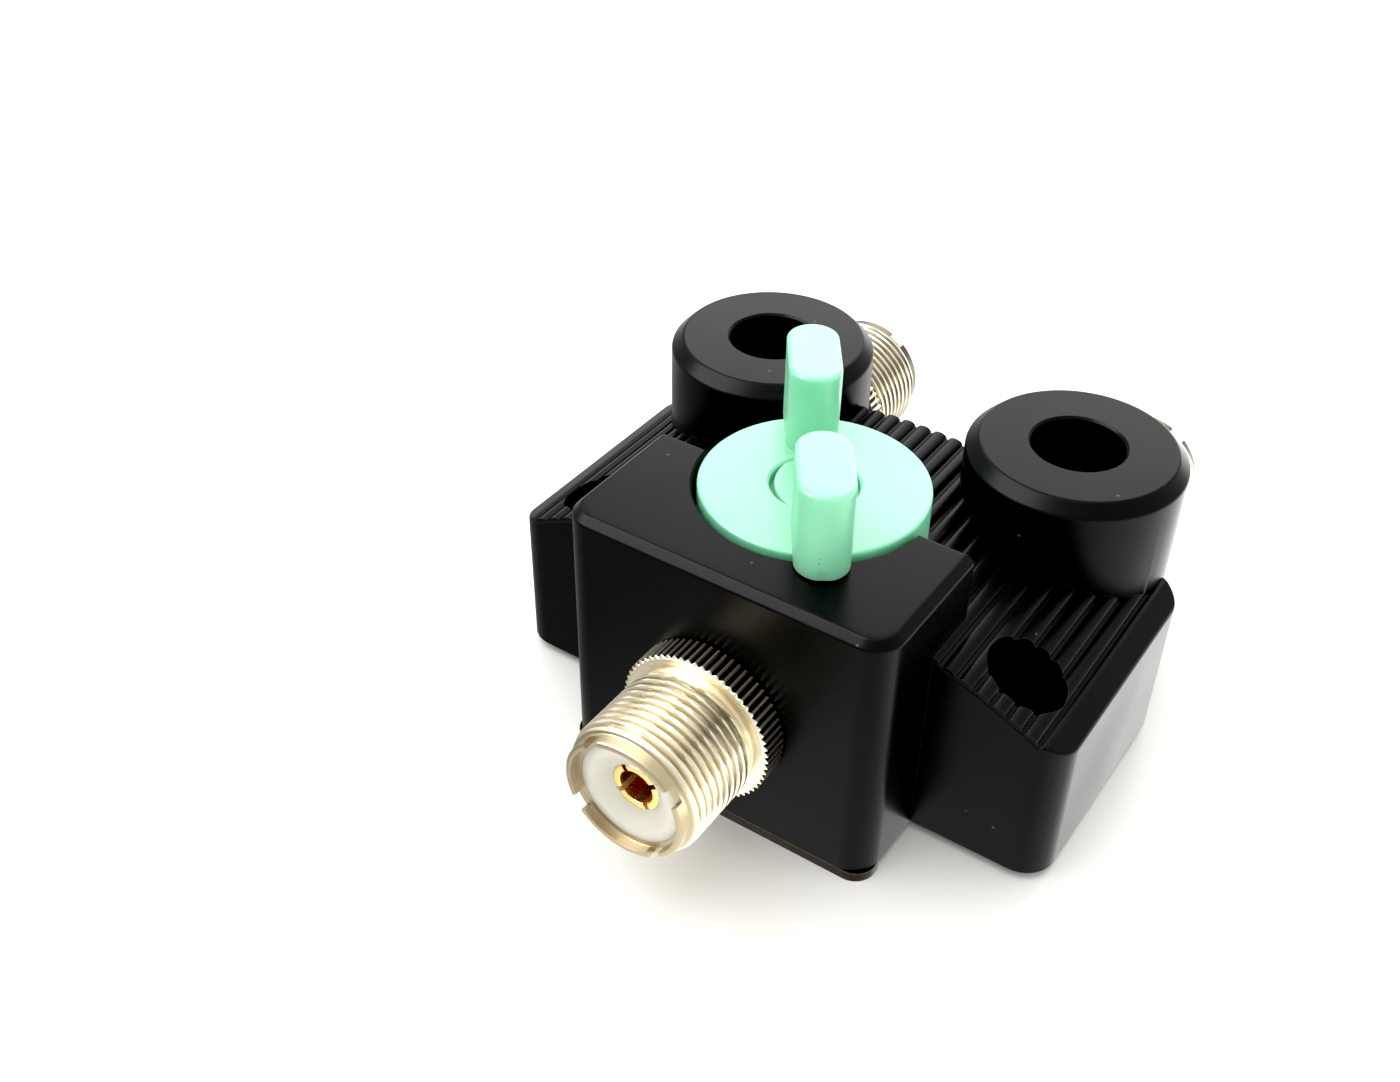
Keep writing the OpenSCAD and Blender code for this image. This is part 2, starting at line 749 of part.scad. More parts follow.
module rotor() {
    color(ptfe)
        difference() {
            union() {
                translate([0, 0, rotor_z]) cylinder(h = rotor_h, r = hub_r);
                translate([0, 0, rotor_z])
                    linear_extrude(height = rotor_h / 2)
                        rotate(knob_rest)
                            bar([0, 0], [0, chamber_r - 0.5 - arm_w / 2], arm_w);
                translate([0, 0, socket_z]) cylinder(h = rotor_z - socket_z, r = peg_r);
            }
            translate([0, 0, shaft_bottom]) cylinder(h = rotor_h, r = shaft_r);
            rotor_pin_hole();
            rotate([0, 0, knob_rest])
                translate([0, rivet_reach, rotor_z - 1]) cylinder(h = rivet_grip + 1, r = rivet_r);
        }
}

module rotor_pin() {
    color(steel)
        rotate([0, 0, knob_rest])
            translate([0.1 - hub_r, 0, rotor_pin_z])
                rotate([0, 90, 0]) cylinder(h = 2 * hub_r - 0.2, r = rotor_pin_r);
}

module contact_blade() {
    color(silver)
        difference() {
            translate([0, 0, blade_z])
                linear_extrude(height = blade_t)
                    rotate(knob_rest) {
                        bar([0, 0], [0, chamber_r - 0.8 - strip_w / 2], strip_w);
                        circle(r = strip_w / 2 + 1.5);
                    }
            translate([0, 0, blade_z - 1]) cylinder(h = 3, r = peg_r);
            rotate([0, 0, knob_rest])
                translate([0, rivet_reach, blade_z - 1]) cylinder(h = 3, r = rivet_r);
        }
}

module blade_rivet() {
    color(brass)
        rotate([0, 0, knob_rest])
            translate([0, rivet_reach, 0]) {
                translate([0, 0, blade_z]) cylinder(h = blade_t + rivet_grip, r = rivet_r);
                translate([0, 0, blade_z - 0.4]) cylinder(h = 0.4, r = rivet_r + 0.5);
            }
}

module front_feed() {
    color(silver)
        difference() {
            translate([0, 0, socket_z])
                linear_extrude(height = strip_t) {
                    bar(front_tail, [0, 0], strip_w);
                    circle(r = strip_w / 2 + 1.5);
                }
            translate([0, 0, socket_z - 1]) cylinder(h = 3, r = peg_r + contact_gap);
        }
}

module left_feed() {
    color(silver)
        translate([0, 0, socket_z])
            linear_extrude(height = strip_t) bar(left_touch, left_tail, strip_w);
}

module right_feed() { mirror([1, 0, 0]) left_feed(); }

module feed_posts() {
    color(ptfe)
        for (p = [left_touch, [-left_touch[0], left_touch[1]], [0, -touch_reach * 0.67]])
            translate([p[0], p[1], plate_t]) cylinder(h = socket_z - plate_t, r = feed_post_r);
}

module detent_ball() {
    color(steel) translate([0, -track_reach, ball_z]) sphere(r = ball_r);
}

// The spring under the ball, drawn as a closed tube of its outer and inner size
module detent_spring() {
    color(steel)
        translate([0, -track_reach, ball_hole_floor])
            difference() {
                cylinder(h = spring_h, r = ball_r - 0.1);
                translate([0, 0, -1]) cylinder(h = spring_h + 2, r = ball_r * 0.6);
            }
}

module stop_pin() {
    color(steel)
        translate([0, track_reach, ball_hole_floor])
            cylinder(h = stop_pin_top - ball_hole_floor, r = stop_pin_r);
}

housing();
base_plate();
base_screws();
front_socket_shell();
front_socket_insulator();
front_socket_contact();
left_socket_shell();
left_socket_insulator();
left_socket_contact();
right_socket_shell();
right_socket_insulator();
right_socket_contact();
knob();
knob_cap();
knob_screw();
shaft();
shaft_bush();
thrust_washer();
retaining_clip();
rotor();
rotor_pin();
contact_blade();
blade_rivet();
front_feed();
left_feed();
right_feed();
feed_posts();
detent_ball();
detent_spring();
stop_pin();
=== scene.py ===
"""Looks of a two-way coaxial antenna switch: black casting, nickel sockets, jade knob."""
import math

import bmesh
import bpy
import numpy as np
from mathutils import Matrix, Vector


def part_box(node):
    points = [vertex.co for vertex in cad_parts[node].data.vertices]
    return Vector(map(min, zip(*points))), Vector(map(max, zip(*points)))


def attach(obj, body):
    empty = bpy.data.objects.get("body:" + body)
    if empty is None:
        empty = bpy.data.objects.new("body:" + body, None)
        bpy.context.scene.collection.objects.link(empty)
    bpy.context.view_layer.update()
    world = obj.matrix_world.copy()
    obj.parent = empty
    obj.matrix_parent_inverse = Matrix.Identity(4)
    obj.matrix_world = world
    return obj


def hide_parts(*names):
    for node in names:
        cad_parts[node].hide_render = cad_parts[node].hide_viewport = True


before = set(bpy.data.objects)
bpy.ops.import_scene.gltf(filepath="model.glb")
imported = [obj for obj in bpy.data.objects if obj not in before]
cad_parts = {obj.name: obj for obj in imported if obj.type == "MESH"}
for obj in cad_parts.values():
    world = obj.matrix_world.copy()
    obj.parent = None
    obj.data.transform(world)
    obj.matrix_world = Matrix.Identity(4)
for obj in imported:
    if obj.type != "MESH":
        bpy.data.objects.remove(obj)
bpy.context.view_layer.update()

MM = 0.001
SWITCH_BODY = "switch_body"
TURNING_PARTS = "turning_parts"


def extent(node):
    """Lowest and highest corners of a construction solid, in millimetres."""
    low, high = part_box(node)
    return Vector(low) / MM, Vector(high) / MM


# Sizes read from the construction, in millimetres. The knob's axis is x = 0, y = 0.
casting_low, casting_high = extent("housing")
knob_low, knob_high = extent("knob")
cap_low, cap_high = extent("knob_cap")
bush_low, bush_high = extent("shaft_bush")
front_shell_low, front_shell_high = extent("front_socket_shell")
right_shell_low, right_shell_high = extent("right_socket_shell")
front_contact_low, front_contact_high = extent("front_socket_contact")
front_insulator_low, front_insulator_high = extent("front_socket_insulator")
stop_pin_low, stop_pin_high = extent("stop_pin")
ball_high = extent("detent_ball")[1]
washer_high = extent("thrust_washer")[1]
shaft_high = extent("shaft")[1]
spring_low = extent("detent_spring")[0]

JUST_CLEAR = 0.05

# Casting
CORNER_STEPS = 8
FLOOR_Z = casting_low.z
WING_HALF_SPAN = casting_high.x
FRONT_FACE = casting_low.y
TOWER_TOP = casting_high.z
BLOCK_HALF_WIDTH = 19.65
BLOCK_BACK = -0.4
BLOCK_TOP = TOWER_TOP - 0.2
BLOCK_FRONT_R = 3.3
BLOCK_REAR_R = 1.0
BLOCK_BEVEL = 0.9
WING_FRONT = -8.7
BASE_BACK = 24.4
CROWN_Z = 28.3
ARCH_R = 68.8
WING_CORNER_R = 3.7
RIB_PITCH = 2.1
RIB_HEIGHT = 0.5
RIB_SIDES = 24
RIB_INSET = 0.12
PLAIN_BAND = 2.5
TOWER_X = (right_shell_low.x + right_shell_high.x) / 2
TOWER_Y = 23.5
TOWER_R = casting_high.y - TOWER_Y
TOWER_BEVEL = 1.4
WELL_R = 5.3
WELL_DEPTH = 9.0
SOCKET_Z = (front_shell_low.z + front_shell_high.z) / 2
BOSS_R = 10.2
BOSS_ROUND = 0.35
REAR_SEAT = 34.7
SEAT_Z = bush_high.z - 0.8
BUSH_R = 4.5
BALL_HOLE_R = ball_high.x + JUST_CLEAR
POCKET_R = 13.15
MOUNT_X = 27.5
MOUNT_Y = -2.1
MOUNT_HEAD_R = 4.35
MOUNT_HOLE_R = 2.3
MOUNT_LEDGE_Z = 6.0
CHAMBER_R = 11.0
CHAMBER_TOP = bush_low.z
CHANNEL_WIDTH = 9.0
SOCKET_WALL = 6.0
COLLAR_ROOM = 0.4
EDGE_ROUND = 0.22

# Sockets, counted outwards from their seat
COLLAR_R = (front_shell_high.z - front_shell_low.z) / 2
COLLAR_T = 3.5
SOCKET_LEN = FRONT_FACE - front_shell_low.y
STUB_R = 7.0
STUB_LEN = front_shell_high.y - FRONT_FACE
THREAD_R = 7.94
THREAD_PITCH = 1.058
THREAD_TURNS = 10
THREAD_START = 3.9
THREAD_DEPTH = 0.50 * THREAD_PITCH
CREST_SHARE = 0.42
FLANK_SHARE = 0.42
RIM_R = 7.2
NOTCH_WIDTH = 2.0
NOTCH_DEPTH = 1.1
NOTCH_ANGLE = 33.0
MOUTH_R = 6.5
INSULATOR_R = (front_insulator_high.z - front_insulator_low.z) / 2
INSULATOR_FACE = FRONT_FACE - front_insulator_low.y
DISH_R = 5.3
CONTACT_FACE = FRONT_FACE - front_contact_low.y
CONTACT_R = 2.85
CONTACT_BORE_R = 2.0
CONTACT_BORE_DEPTH = 9.0
CONTACT_SLOT = 0.6
CONTACT_BACK = CONTACT_FACE - CONTACT_BORE_DEPTH - CONTACT_R * 0.35
TAIL_R = 1.3
TAIL_END = front_contact_high.y - FRONT_FACE
CONTACT_SLOT_DEPTH = CONTACT_BORE_DEPTH * 0.78
CONTACT_ROUND = 0.2
DRILL_POINT = 0.8
TEETH = 64
TOOTH_HEIGHT = 0.42
TOOTH_SHARE = 0.98
TOOTH_CREST = 0.05
MOUTH_EDGE = 0.2
LATHE_ROUND = 0.12
MOUTH_ROUND = 0.08

# Knob
KNOB_R = 12.6
KNOB_TOP = cap_high.z + 0.1
SKIRT_Z = knob_low.z
POST_TOP = knob_high.z
POST_FOOT = BLOCK_TOP + 0.3
POST_HALF_WIDTH = 2.9
POST_INNER = 7.5
POST_OUTER = 13.6
KNOB_REST = 34.0
KNOB_ROUND = 0.35
KNOB_WEB = 2.4
POST_ROUND = 0.5
MARK_HALF_WIDTH = 0.7
MARK_DEPTH = 0.10
CAP_R = 4.8
CAP_LEDGE = 0.9
CAP_HALF_WAIST = 4.35
CAP_SIDE_R = 6.0
CAP_ROUND = 0.3
KNOB_SCREW_HOLE_R = 1.6
SHAFT_R = shaft_high.x
SHAFT_FLAT = 2.1
SHAFT_ROOF = 0.8
SHAFT_FIT = 0.02
CAP_PLAY = 0.1
FLANGE_PLAY = 0.4
DIMPLE_PLAY = 0.2
PIN_PLAY = 0.1
PIN_ROOM = 0.5
TRACK_REACH = stop_pin_high.y - stop_pin_high.x
TRACK_R = 1.113
DIMPLE_DEPTH = 0.35


# -------- outlines and solids, in millimetres

def arc(centre, radius, start, end, steps):
    """Points of an arc from one angle to another, in degrees."""
    angles = np.radians(np.linspace(start, end, steps + 1))
    return np.column_stack([centre[0] + radius * np.cos(angles), centre[1] + radius * np.sin(angles)])


def round_outline(centre, radius, steps=96):
    return arc(centre, radius, 0, 360, steps)[:-1]


def rounded_outline(low, high, radius, steps):
    """A rectangle with round corners."""
    corners = [((high[0] - radius, low[1] + radius), -90), ((high[0] - radius, high[1] - radius), 0),
               ((low[0] + radius, high[1] - radius), 90), ((low[0] + radius, low[1] + radius), 180)]
    return np.vstack([arc(corner, radius, start, start + 90, steps) for corner, start in corners])


def bar_outline(start, end, radius, steps=24):
    """A bar with round ends between two points."""
    heading = math.degrees(math.atan2(end[1] - start[1], end[0] - start[0]))
    return np.vstack([arc(end, radius, heading - 90, heading + 90, steps),
                      arc(start, radius, heading + 90, heading + 270, steps)])


def soften(path, cut, steps=4):
    """Rounds each inner corner of an open path."""
    path = [np.array(point, float) for point in path]
    softened = [path[0]]
    for before, corner, after in zip(path, path[1:], path[2:]):
        back = before - corner
        ahead = after - corner
        reach = min(cut, np.linalg.norm(back) / 2, np.linalg.norm(ahead) / 2)
        first = corner + back / np.linalg.norm(back) * reach
        last = corner + ahead / np.linalg.norm(ahead) * reach
        for u in np.linspace(0, 1, steps + 1):
            softened.append((1 - u) ** 2 * first + 2 * u * (1 - u) * corner + u ** 2 * last)
    softened.append(path[-1])
    return softened


def circle():
    """Angles once round, and the points of a unit circle at them."""
    angles = np.linspace(0, 2 * math.pi, 128, endpoint=False)
    return angles, np.column_stack([np.cos(angles), np.sin(angles)])


def flat_ring(outline, height):
    return np.column_stack([outline, np.full(len(outline), height)])


def upright_ring(outline, y, x=0):
    """A ring that stands across the switch, from (x, height) points."""
    return np.column_stack([outline[:, 0] + x, np.full(len(outline), y), outline[:, 1]])


def loft(rings, closed=False):
    """Faces that join equal rings of points in turn. An open loft has a face on each end."""
    count = len(rings[0])
    pairs = [(k, (k + 1) % len(rings)) for k in range(len(rings) if closed else len(rings) - 1)]
    faces = [(a * count + j, a * count + (j + 1) % count, b * count + (j + 1) % count, b * count + j)
             for a, b in pairs for j in range(count)]
    if not closed:
        faces.append(tuple(reversed(range(count))))
        faces.append(tuple(range((len(rings) - 1) * count, len(rings) * count)))
    return np.vstack(rings), faces


def turned(profile, segments=128, closed=False):
    """A lathe-turned solid about +Z, from (radius, height) points."""
    unit = round_outline((0, 0), 1, segments)
    return loft([flat_ring(unit * radius, height) for radius, height in profile], closed)


def prism(outline, low, high):
    return loft([flat_ring(outline, low), flat_ring(outline, high)])


def placed(shape, matrix):
    points, faces = shape
    turn = np.array(matrix.to_3x3())
    return points @ turn.T + np.array(matrix.translation), faces


def solid(name, shape):
    """A mesh object in metres from points in millimetres, its faces pointing outwards."""
    points, faces = shape
    mesh = bpy.data.meshes.new(name)
    mesh.from_pydata((points * MM).tolist(), [], faces)
    shell = bmesh.new()
    shell.from_mesh(mesh)
    bmesh.ops.recalc_face_normals(shell, faces=shell.faces)
    shell.to_mesh(mesh)
    shell.free()
    piece = bpy.data.objects.new(name, mesh)
    bpy.context.scene.collection.objects.link(piece)
    return piece


def settle(piece):
    """Makes what the modifiers do part of the mesh."""
    shown = piece.evaluated_get(bpy.context.evaluated_depsgraph_get())
    mesh = bpy.data.meshes.new_from_object(shown)
    spare = piece.data
    piece.modifiers.clear()
    piece.data = mesh
    bpy.data.meshes.remove(spare)


def combine(piece, others, operation):
    for other in others:
        step = piece.modifiers.new(operation, "BOOLEAN")
        step.operation = operation
        step.object = other
        step.solver = "MANIFOLD"
    settle(piece)
    for other in others:
        bpy.data.objects.remove(other)


def carve(piece, shapes):
    combine(piece, [solid("cutter", shape) for shape in shapes], "DIFFERENCE")


def weld_on(piece, shapes):
    combine(piece, [solid("part", shape) for shape in shapes], "UNION")


def shade(piece, angle):
    """Smooth shading that keeps edges sharper than the angle, with level faces kept level."""
    piece.data.shade_smooth()
    piece.data.set_sharp_from_angle(angle=math.radians(angle))
    level = piece.modifiers.new("level faces", "WEIGHTED_NORMAL")
    level.keep_sharp = True
    level.weight = 90
    settle(piece)


def dress(piece, node, body, material, angle=32):
    """Gives a finished piece its shading, its material and its place in the construction."""
    shade(piece, angle)
    piece.data.materials.clear()
    piece.data.materials.append(material)
    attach(piece, body)
    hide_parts(node)
    return piece


# -------- repeated shapes

def bare_tree(owner):
    """The emptied node tree of a material or of the surround."""
    owner.use_nodes = True
    owner.node_tree.nodes.clear()
    return owner.node_tree


class NodeMaker:
    """Short ways to add nodes to a tree."""

    def __init__(self, tree):
        self.tree = tree

    def node(self, kind, inputs=None, **settings):
        """A node with its settings, and with a value or a link on each named input."""
        node = self.tree.nodes.new(kind)
        for key, value in settings.items():
            setattr(node, key, value)
        for key, value in (inputs or {}).items():
            if isinstance(value, bpy.types.NodeSocket):
                self.tree.links.new(value, node.inputs[key])
            else:
                node.inputs[key].default_value = value
        return node

    def wire(self, kind, inputs=None, **settings):
        """Adds a node and gives its first output."""
        return self.node(kind, inputs, **settings).outputs[0]

    def math(self, operation, *values):
        return self.wire("ShaderNodeMath", dict(enumerate(values)), operation=operation)

    def dot(self, first, second):
        """How far two directions agree."""
        product = self.node("ShaderNodeVectorMath", {0: first, 1: second}, operation="DOT_PRODUCT")
        return product.outputs["Value"]

    def span(self, value, low, high, source=(0.3, 0.7)):
        return self.wire("ShaderNodeMapRange", {0: value, 1: source[0], 2: source[1], 3: low, 4: high})


class NodeSketch(NodeMaker):
    """A node group with named inputs and outputs."""

    def __init__(self, name, kind):
        super().__init__(bpy.data.node_groups.new(name, kind))
        self.source = self.tree.nodes.new("NodeGroupInput")
        self.result = self.tree.nodes.new("NodeGroupOutput")

    def input(self, name, kind="Float", value=None):
        socket = self.tree.interface.new_socket(name, in_out="INPUT", socket_type="NodeSocket" + kind)
        if value is not None:
            socket.default_value = value
        return self.source.outputs[name]

    def output(self, name, socket, kind="Float"):
        self.tree.interface.new_socket(name, in_out="OUTPUT", socket_type="NodeSocket" + kind)
        self.tree.links.new(socket, self.result.inputs[name])

    def shape_of(self, piece):
        return self.node("GeometryNodeObjectInfo", {"Object": piece}).outputs["Geometry"]

    def copies(self, points, shape, axis, angle):
        """One real copy of a shape on each point, turned about an axis by that point's angle."""
        lean = self.wire("ShaderNodeCombineXYZ", {axis: angle})
        turn = self.wire("FunctionNodeEulerToRotation", {0: lean})
        placing = {"Points": points, "Instance": shape, "Rotation": turn}
        copies = self.wire("GeometryNodeInstanceOnPoints", placing)
        return self.wire("GeometryNodeRealizeInstances", {0: copies})

    def finish(self, geometry, material):
        """Ends a geometry tree with its material."""
        painted = self.wire("GeometryNodeSetMaterial", {"Geometry": geometry, "Material": material})
        self.output("Geometry", painted, "Geometry")
        return self.tree


def grown(name, tree, settings, mesh=None):
    """An object made by a geometry tree, turned into a plain mesh. Lengths are in metres."""
    piece = bpy.data.objects.new(name, mesh or bpy.data.meshes.new(name))
    bpy.context.scene.collection.objects.link(piece)
    growth = piece.modifiers.new(name, "NODES")
    growth.node_group = tree
    for item in tree.interface.items_tree:
        if item.in_out == "INPUT" and item.name in settings:
            growth[item.identifier] = settings[item.name]
    settle(piece)
    return piece


def rib_tree():
    """Half-round ribs side by side over an arch, their ends kept inside the wings' round corners."""
    sketch = NodeSketch("ribs over an arch", "GeometryNodeTree")
    sketch.input("Geometry", "Geometry")
    count = sketch.input("Count", "Int", RIBS_EACH_SIDE)
    sizes = [sketch.input(name) for name in ("Step", "Offset", "Arch Radius", "Crown", "Half Width", "Height",
                                             "Front", "Back", "Half Span", "Corner Radius")]
    step, offset, arch_radius, crown, half_width, height, front, back, half_span, corner = sizes
    material = sketch.input("Material", "Material")
    maths = sketch.math

    line = sketch.wire("GeometryNodeMeshLine", {"Count": count, "Offset": (0, 0, 0)})
    index = sketch.wire("GeometryNodeInputIndex")
    middle = maths("MULTIPLY", maths("SUBTRACT", count, 1), 0.5)
    angle = maths("MULTIPLY", maths("SUBTRACT", index, middle), step)
    angle = maths("ADD", angle, offset)
    across = maths("MULTIPLY", maths("SINE", angle), arch_radius)
    drop = maths("MULTIPLY", maths("SUBTRACT", maths("COSINE", angle), 1), arch_radius)
    seat = sketch.wire("ShaderNodeCombineXYZ", {"X": across, "Z": maths("ADD", crown, drop)})
    points = sketch.wire("GeometryNodeSetPosition", {"Geometry": line, "Position": seat})

    length = maths("SUBTRACT", back, front)
    rod = sketch.wire("GeometryNodeMeshCylinder", {"Vertices": RIB_SIDES, "Radius": 1.0, "Depth": 1.0})
    size = sketch.wire("ShaderNodeCombineXYZ", {"X": half_width, "Y": height, "Z": length})
    centre = maths("MULTIPLY", maths("ADD", front, back), 0.5)
    shift = sketch.wire("ShaderNodeCombineXYZ", {"Y": centre})
    rib = sketch.wire("GeometryNodeTransform", {"Geometry": rod, "Translation": shift,
                                                "Rotation": (math.pi / 2, 0, 0), "Scale": size})
    ribs = sketch.copies(points, rib, "Y", angle)

    place = sketch.wire("GeometryNodeInputPosition")
    x, y, z = sketch.node("ShaderNodeSeparateXYZ", {0: place}).outputs
    past = maths("SUBTRACT", maths("ABSOLUTE", x), maths("SUBTRACT", half_span, corner))
    past = maths("MINIMUM", maths("MAXIMUM", past, 0), corner)
    corner_square = maths("MULTIPLY", corner, corner)
    inside = maths("SQRT", maths("SUBTRACT", corner_square, maths("MULTIPLY", past, past)))
    draw_in = maths("SUBTRACT", corner, inside)
    along = maths("MAXIMUM", y, maths("ADD", front, draw_in))
    along = maths("MINIMUM", along, maths("SUBTRACT", back, draw_in))
    kept = sketch.wire("ShaderNodeCombineXYZ", {"X": x, "Y": along, "Z": z})
    trimmed = sketch.wire("GeometryNodeSetPosition", {"Geometry": ribs, "Position": kept})
    return sketch.finish(trimmed, material)


def ring_tree():
    """Copies of one shape in a ring about +Z, then moved and turned to their place."""
    sketch = NodeSketch("shapes in a ring", "GeometryNodeTree")
    sketch.input("Geometry", "Geometry")
    shape = sketch.input("Shape", "Object")
    count = sketch.input("Count", "Int", TEETH)
    place = sketch.input("Place", "Vector")
    turn = sketch.input("Turn", "Vector")
    material = sketch.input("Material", "Material")
    line = sketch.wire("GeometryNodeMeshLine", {"Count": count, "Offset": (0, 0, 0)})
    index = sketch.wire("GeometryNodeInputIndex")
    angle = sketch.math("MULTIPLY", sketch.math("DIVIDE", index, count), 2 * math.pi)
    ring = sketch.copies(line, sketch.shape_of(shape), "Z", angle)
    moved = sketch.wire("GeometryNodeTransform", {"Geometry": ring, "Translation": place, "Rotation": turn})
    return sketch.finish(moved, material)


def scatter_tree():
    """One shape on each point, each turned about +Z by its own chance angle."""
    sketch = NodeSketch("shapes on points", "GeometryNodeTree")
    points = sketch.input("Geometry", "Geometry")
    shape = sketch.input("Shape", "Object")
    seed = sketch.input("Seed", "Int", 3)
    material = sketch.input("Material", "Material")
    chance = sketch.node("FunctionNodeRandomValue", {"Max": 2 * math.pi, "Seed": seed}, data_type="FLOAT")
    amount = [socket for socket in chance.outputs if socket.enabled][0]
    return sketch.finish(sketch.copies(points, sketch.shape_of(shape), "Z", amount), material)


# -------- casting

def block_outline(inset):
    """The block from above, rounder at its front corners than at its rear ones."""
    half = BLOCK_HALF_WIDTH - inset
    front = FRONT_FACE + inset
    back = BLOCK_BACK - inset
    wide = max(BLOCK_FRONT_R - inset, 0.05)
    tight = max(BLOCK_REAR_R - inset, 0.05)
    corners = [((half - wide, front + wide), wide, -90), ((half - tight, back - tight), tight, 0),
               ((tight - half, back - tight), tight, 90), ((wide - half, front + wide), wide, 180)]
    return np.vstack([arc(*corner, corner[2] + 90, CORNER_STEPS) for corner in corners])


def block_shape():
    """The smooth front block with its bevelled top."""
    profile = soften([(0, FLOOR_Z), (0, BLOCK_TOP - BLOCK_BEVEL), (BLOCK_BEVEL, BLOCK_TOP),
                      (BLOCK_BEVEL + 1, BLOCK_TOP)], EDGE_ROUND)
    return loft([flat_ring(block_outline(inset), height) for inset, height in profile])


def arch_height(x, sink):
    return CROWN_Z - ARCH_R + math.sqrt((ARCH_R - sink) ** 2 - x * x)


RIB_ANGLE = RIB_PITCH / ARCH_R
RIBS_EACH_SIDE = math.floor(math.asin((WING_HALF_SPAN - PLAIN_BAND) / ARCH_R) / RIB_ANGLE)
VALLEY_END = (ARCH_R - RIB_HEIGHT) * math.sin(RIBS_EACH_SIDE * RIB_ANGLE) + 0.15
CORNER_START = WING_HALF_SPAN - WING_CORNER_R
WING_EDGE = 0.3
GROOVE_FLOOR = 0.34
FLANK = 1.1


def wing_station(x):
    """Cross-section of the base at one distance from its middle."""
    past = max(abs(x) - CORNER_START, 0)
    draw_in = WING_CORNER_R - math.sqrt(max(WING_CORNER_R ** 2 - past ** 2, 0))
    front = WING_FRONT + draw_in
    back = BASE_BACK - draw_in
    climb = min(max((abs(x) - VALLEY_END) / FLANK, 0), 1)
    sink = RIB_HEIGHT * (1 - math.sqrt(1 - (1 - climb) ** 2))
    to_side = min(WING_HALF_SPAN - abs(x), WING_EDGE)
    side_drop = WING_EDGE - math.sqrt(WING_EDGE ** 2 - (WING_EDGE - to_side) ** 2)
    top = arch_height(x, sink) - side_drop
    edge = [(WING_EDGE * (1 - math.cos(turn)), top - WING_EDGE * (1 - math.sin(turn)))
            for turn in np.radians((0, 30, 60, 90))]
    points = [(front, FLOOR_Z), (back, FLOOR_Z)]
    points += [(back - reach, height) for reach, height in edge]
    points += [(front + reach, height) for reach, height in reversed(edge)]
    return np.array([(x, y, z) for y, z in points])


def wing_shape():
    """The arched base, as high as the bottoms of the grooves between its ribs."""
    level = list(np.linspace(0, CORNER_START, 28))
    corner = [CORNER_START + WING_CORNER_R * math.sin(math.radians(turn)) for turn in range(8, 90, 8)]
    edge = [WING_HALF_SPAN - WING_EDGE * (1 - math.sin(math.radians(turn))) for turn in (0, 30, 60, 90)]
    flank = [VALLEY_END + FLANK * (1 - math.cos(math.radians(turn))) for turn in range(0, 91, 15)]
    half = sorted(level + corner + edge + flank)
    stations = [-x for x in reversed(half[1:])] + half
    return loft([wing_station(x) for x in stations])


def rib_set(name, tree, offset, material):
    """Every second rib of the base, so that no two of one set touch."""
    settings = {"Count": RIBS_EACH_SIDE, "Step": 2 * RIB_ANGLE, "Offset": offset,
                "Arch Radius": (ARCH_R - RIB_HEIGHT) * MM, "Crown": (CROWN_Z - RIB_HEIGHT) * MM,
                "Half Width": (RIB_PITCH - GROOVE_FLOOR) / 2 * MM, "Height": RIB_HEIGHT * MM,
                "Front": (WING_FRONT + RIB_INSET) * MM, "Back": (BASE_BACK - RIB_INSET) * MM,
                "Half Span": WING_HALF_SPAN * MM, "Corner Radius": WING_CORNER_R * MM, "Material": material}
    return grown(name, tree, settings)


def tower_shape(side):
    profile = soften([(TOWER_R, FLOOR_Z), (TOWER_R, TOWER_TOP - TOWER_BEVEL),
                      (TOWER_R - TOWER_BEVEL, TOWER_TOP), (WELL_R - 1, TOWER_TOP)], EDGE_ROUND)
    return placed(turned(profile), Matrix.Translation((side * TOWER_X, TOWER_Y, 0)))


def boss_shape(side):
    """The round boss behind a tower that an output socket screws into."""
    rings = []
    for inset, y in soften([(0, TOWER_Y - 3), (0, REAR_SEAT), (1, REAR_SEAT)], BOSS_ROUND):
        outline = np.vstack([arc((0, SOCKET_Z), BOSS_R - inset, 0, 180, 48),
                             [(inset - BOSS_R, FLOOR_Z), (BOSS_R - inset, FLOOR_Z)]])
        rings.append(upright_ring(outline, y, side * TOWER_X))
    return loft(rings)


def facing(x, y, heading):
    """A socket's place: its seat's centre, with +Z turned to the way it faces."""
    return Matrix.Translation((x, y, SOCKET_Z)) @ Matrix.Rotation(math.radians(heading), 4, "X")


FACING = {"front": facing(0, FRONT_FACE, 90), "left": facing(-TOWER_X, REAR_SEAT, -90),
          "right": facing(TOWER_X, REAR_SEAT, -90)}
UNDER = FLOOR_Z - JUST_CLEAR
FRONT_SCREW = (BLOCK_HALF_WIDTH - 5, FRONT_FACE + 3.6)
REAR_SCREW = (TOWER_X + 7, TOWER_Y - 3)
SCREW_PLACES = [FRONT_SCREW, (-FRONT_SCREW[0], FRONT_SCREW[1]), (0, BASE_BACK - 4.5),
                REAR_SCREW, (-REAR_SCREW[0], REAR_SCREW[1])]
SCREW_R = 1.25
SCREW_LEN = 9.0
SCREW_HEAD_R = 2.3
SCREW_SINK = 0.96
RECESS_REACH = 1.38
RECESS_HALF_WIDTH = 0.25
RECESS_DEPTH = 0.6
RIM_CUT = 0.25


def round_hole(place, radius, low, high):
    return prism(round_outline(place, radius), low, high)


def rimmed_hole(place, radius, floor, rim):
    """A round hole whose upper rim has a narrow chamfer."""
    profile = [(radius, floor), (radius, rim - RIM_CUT), (radius + RIM_CUT + 0.1, rim + 0.1),
               (radius + RIM_CUT + 0.1, rim + 2)]
    return placed(turned(profile), Matrix.Translation((place[0], place[1], 0)))


def box_outline(low, high):
    """A rectangle whose corners are only just broken."""
    return rounded_outline(low, high, 0.01, 1)


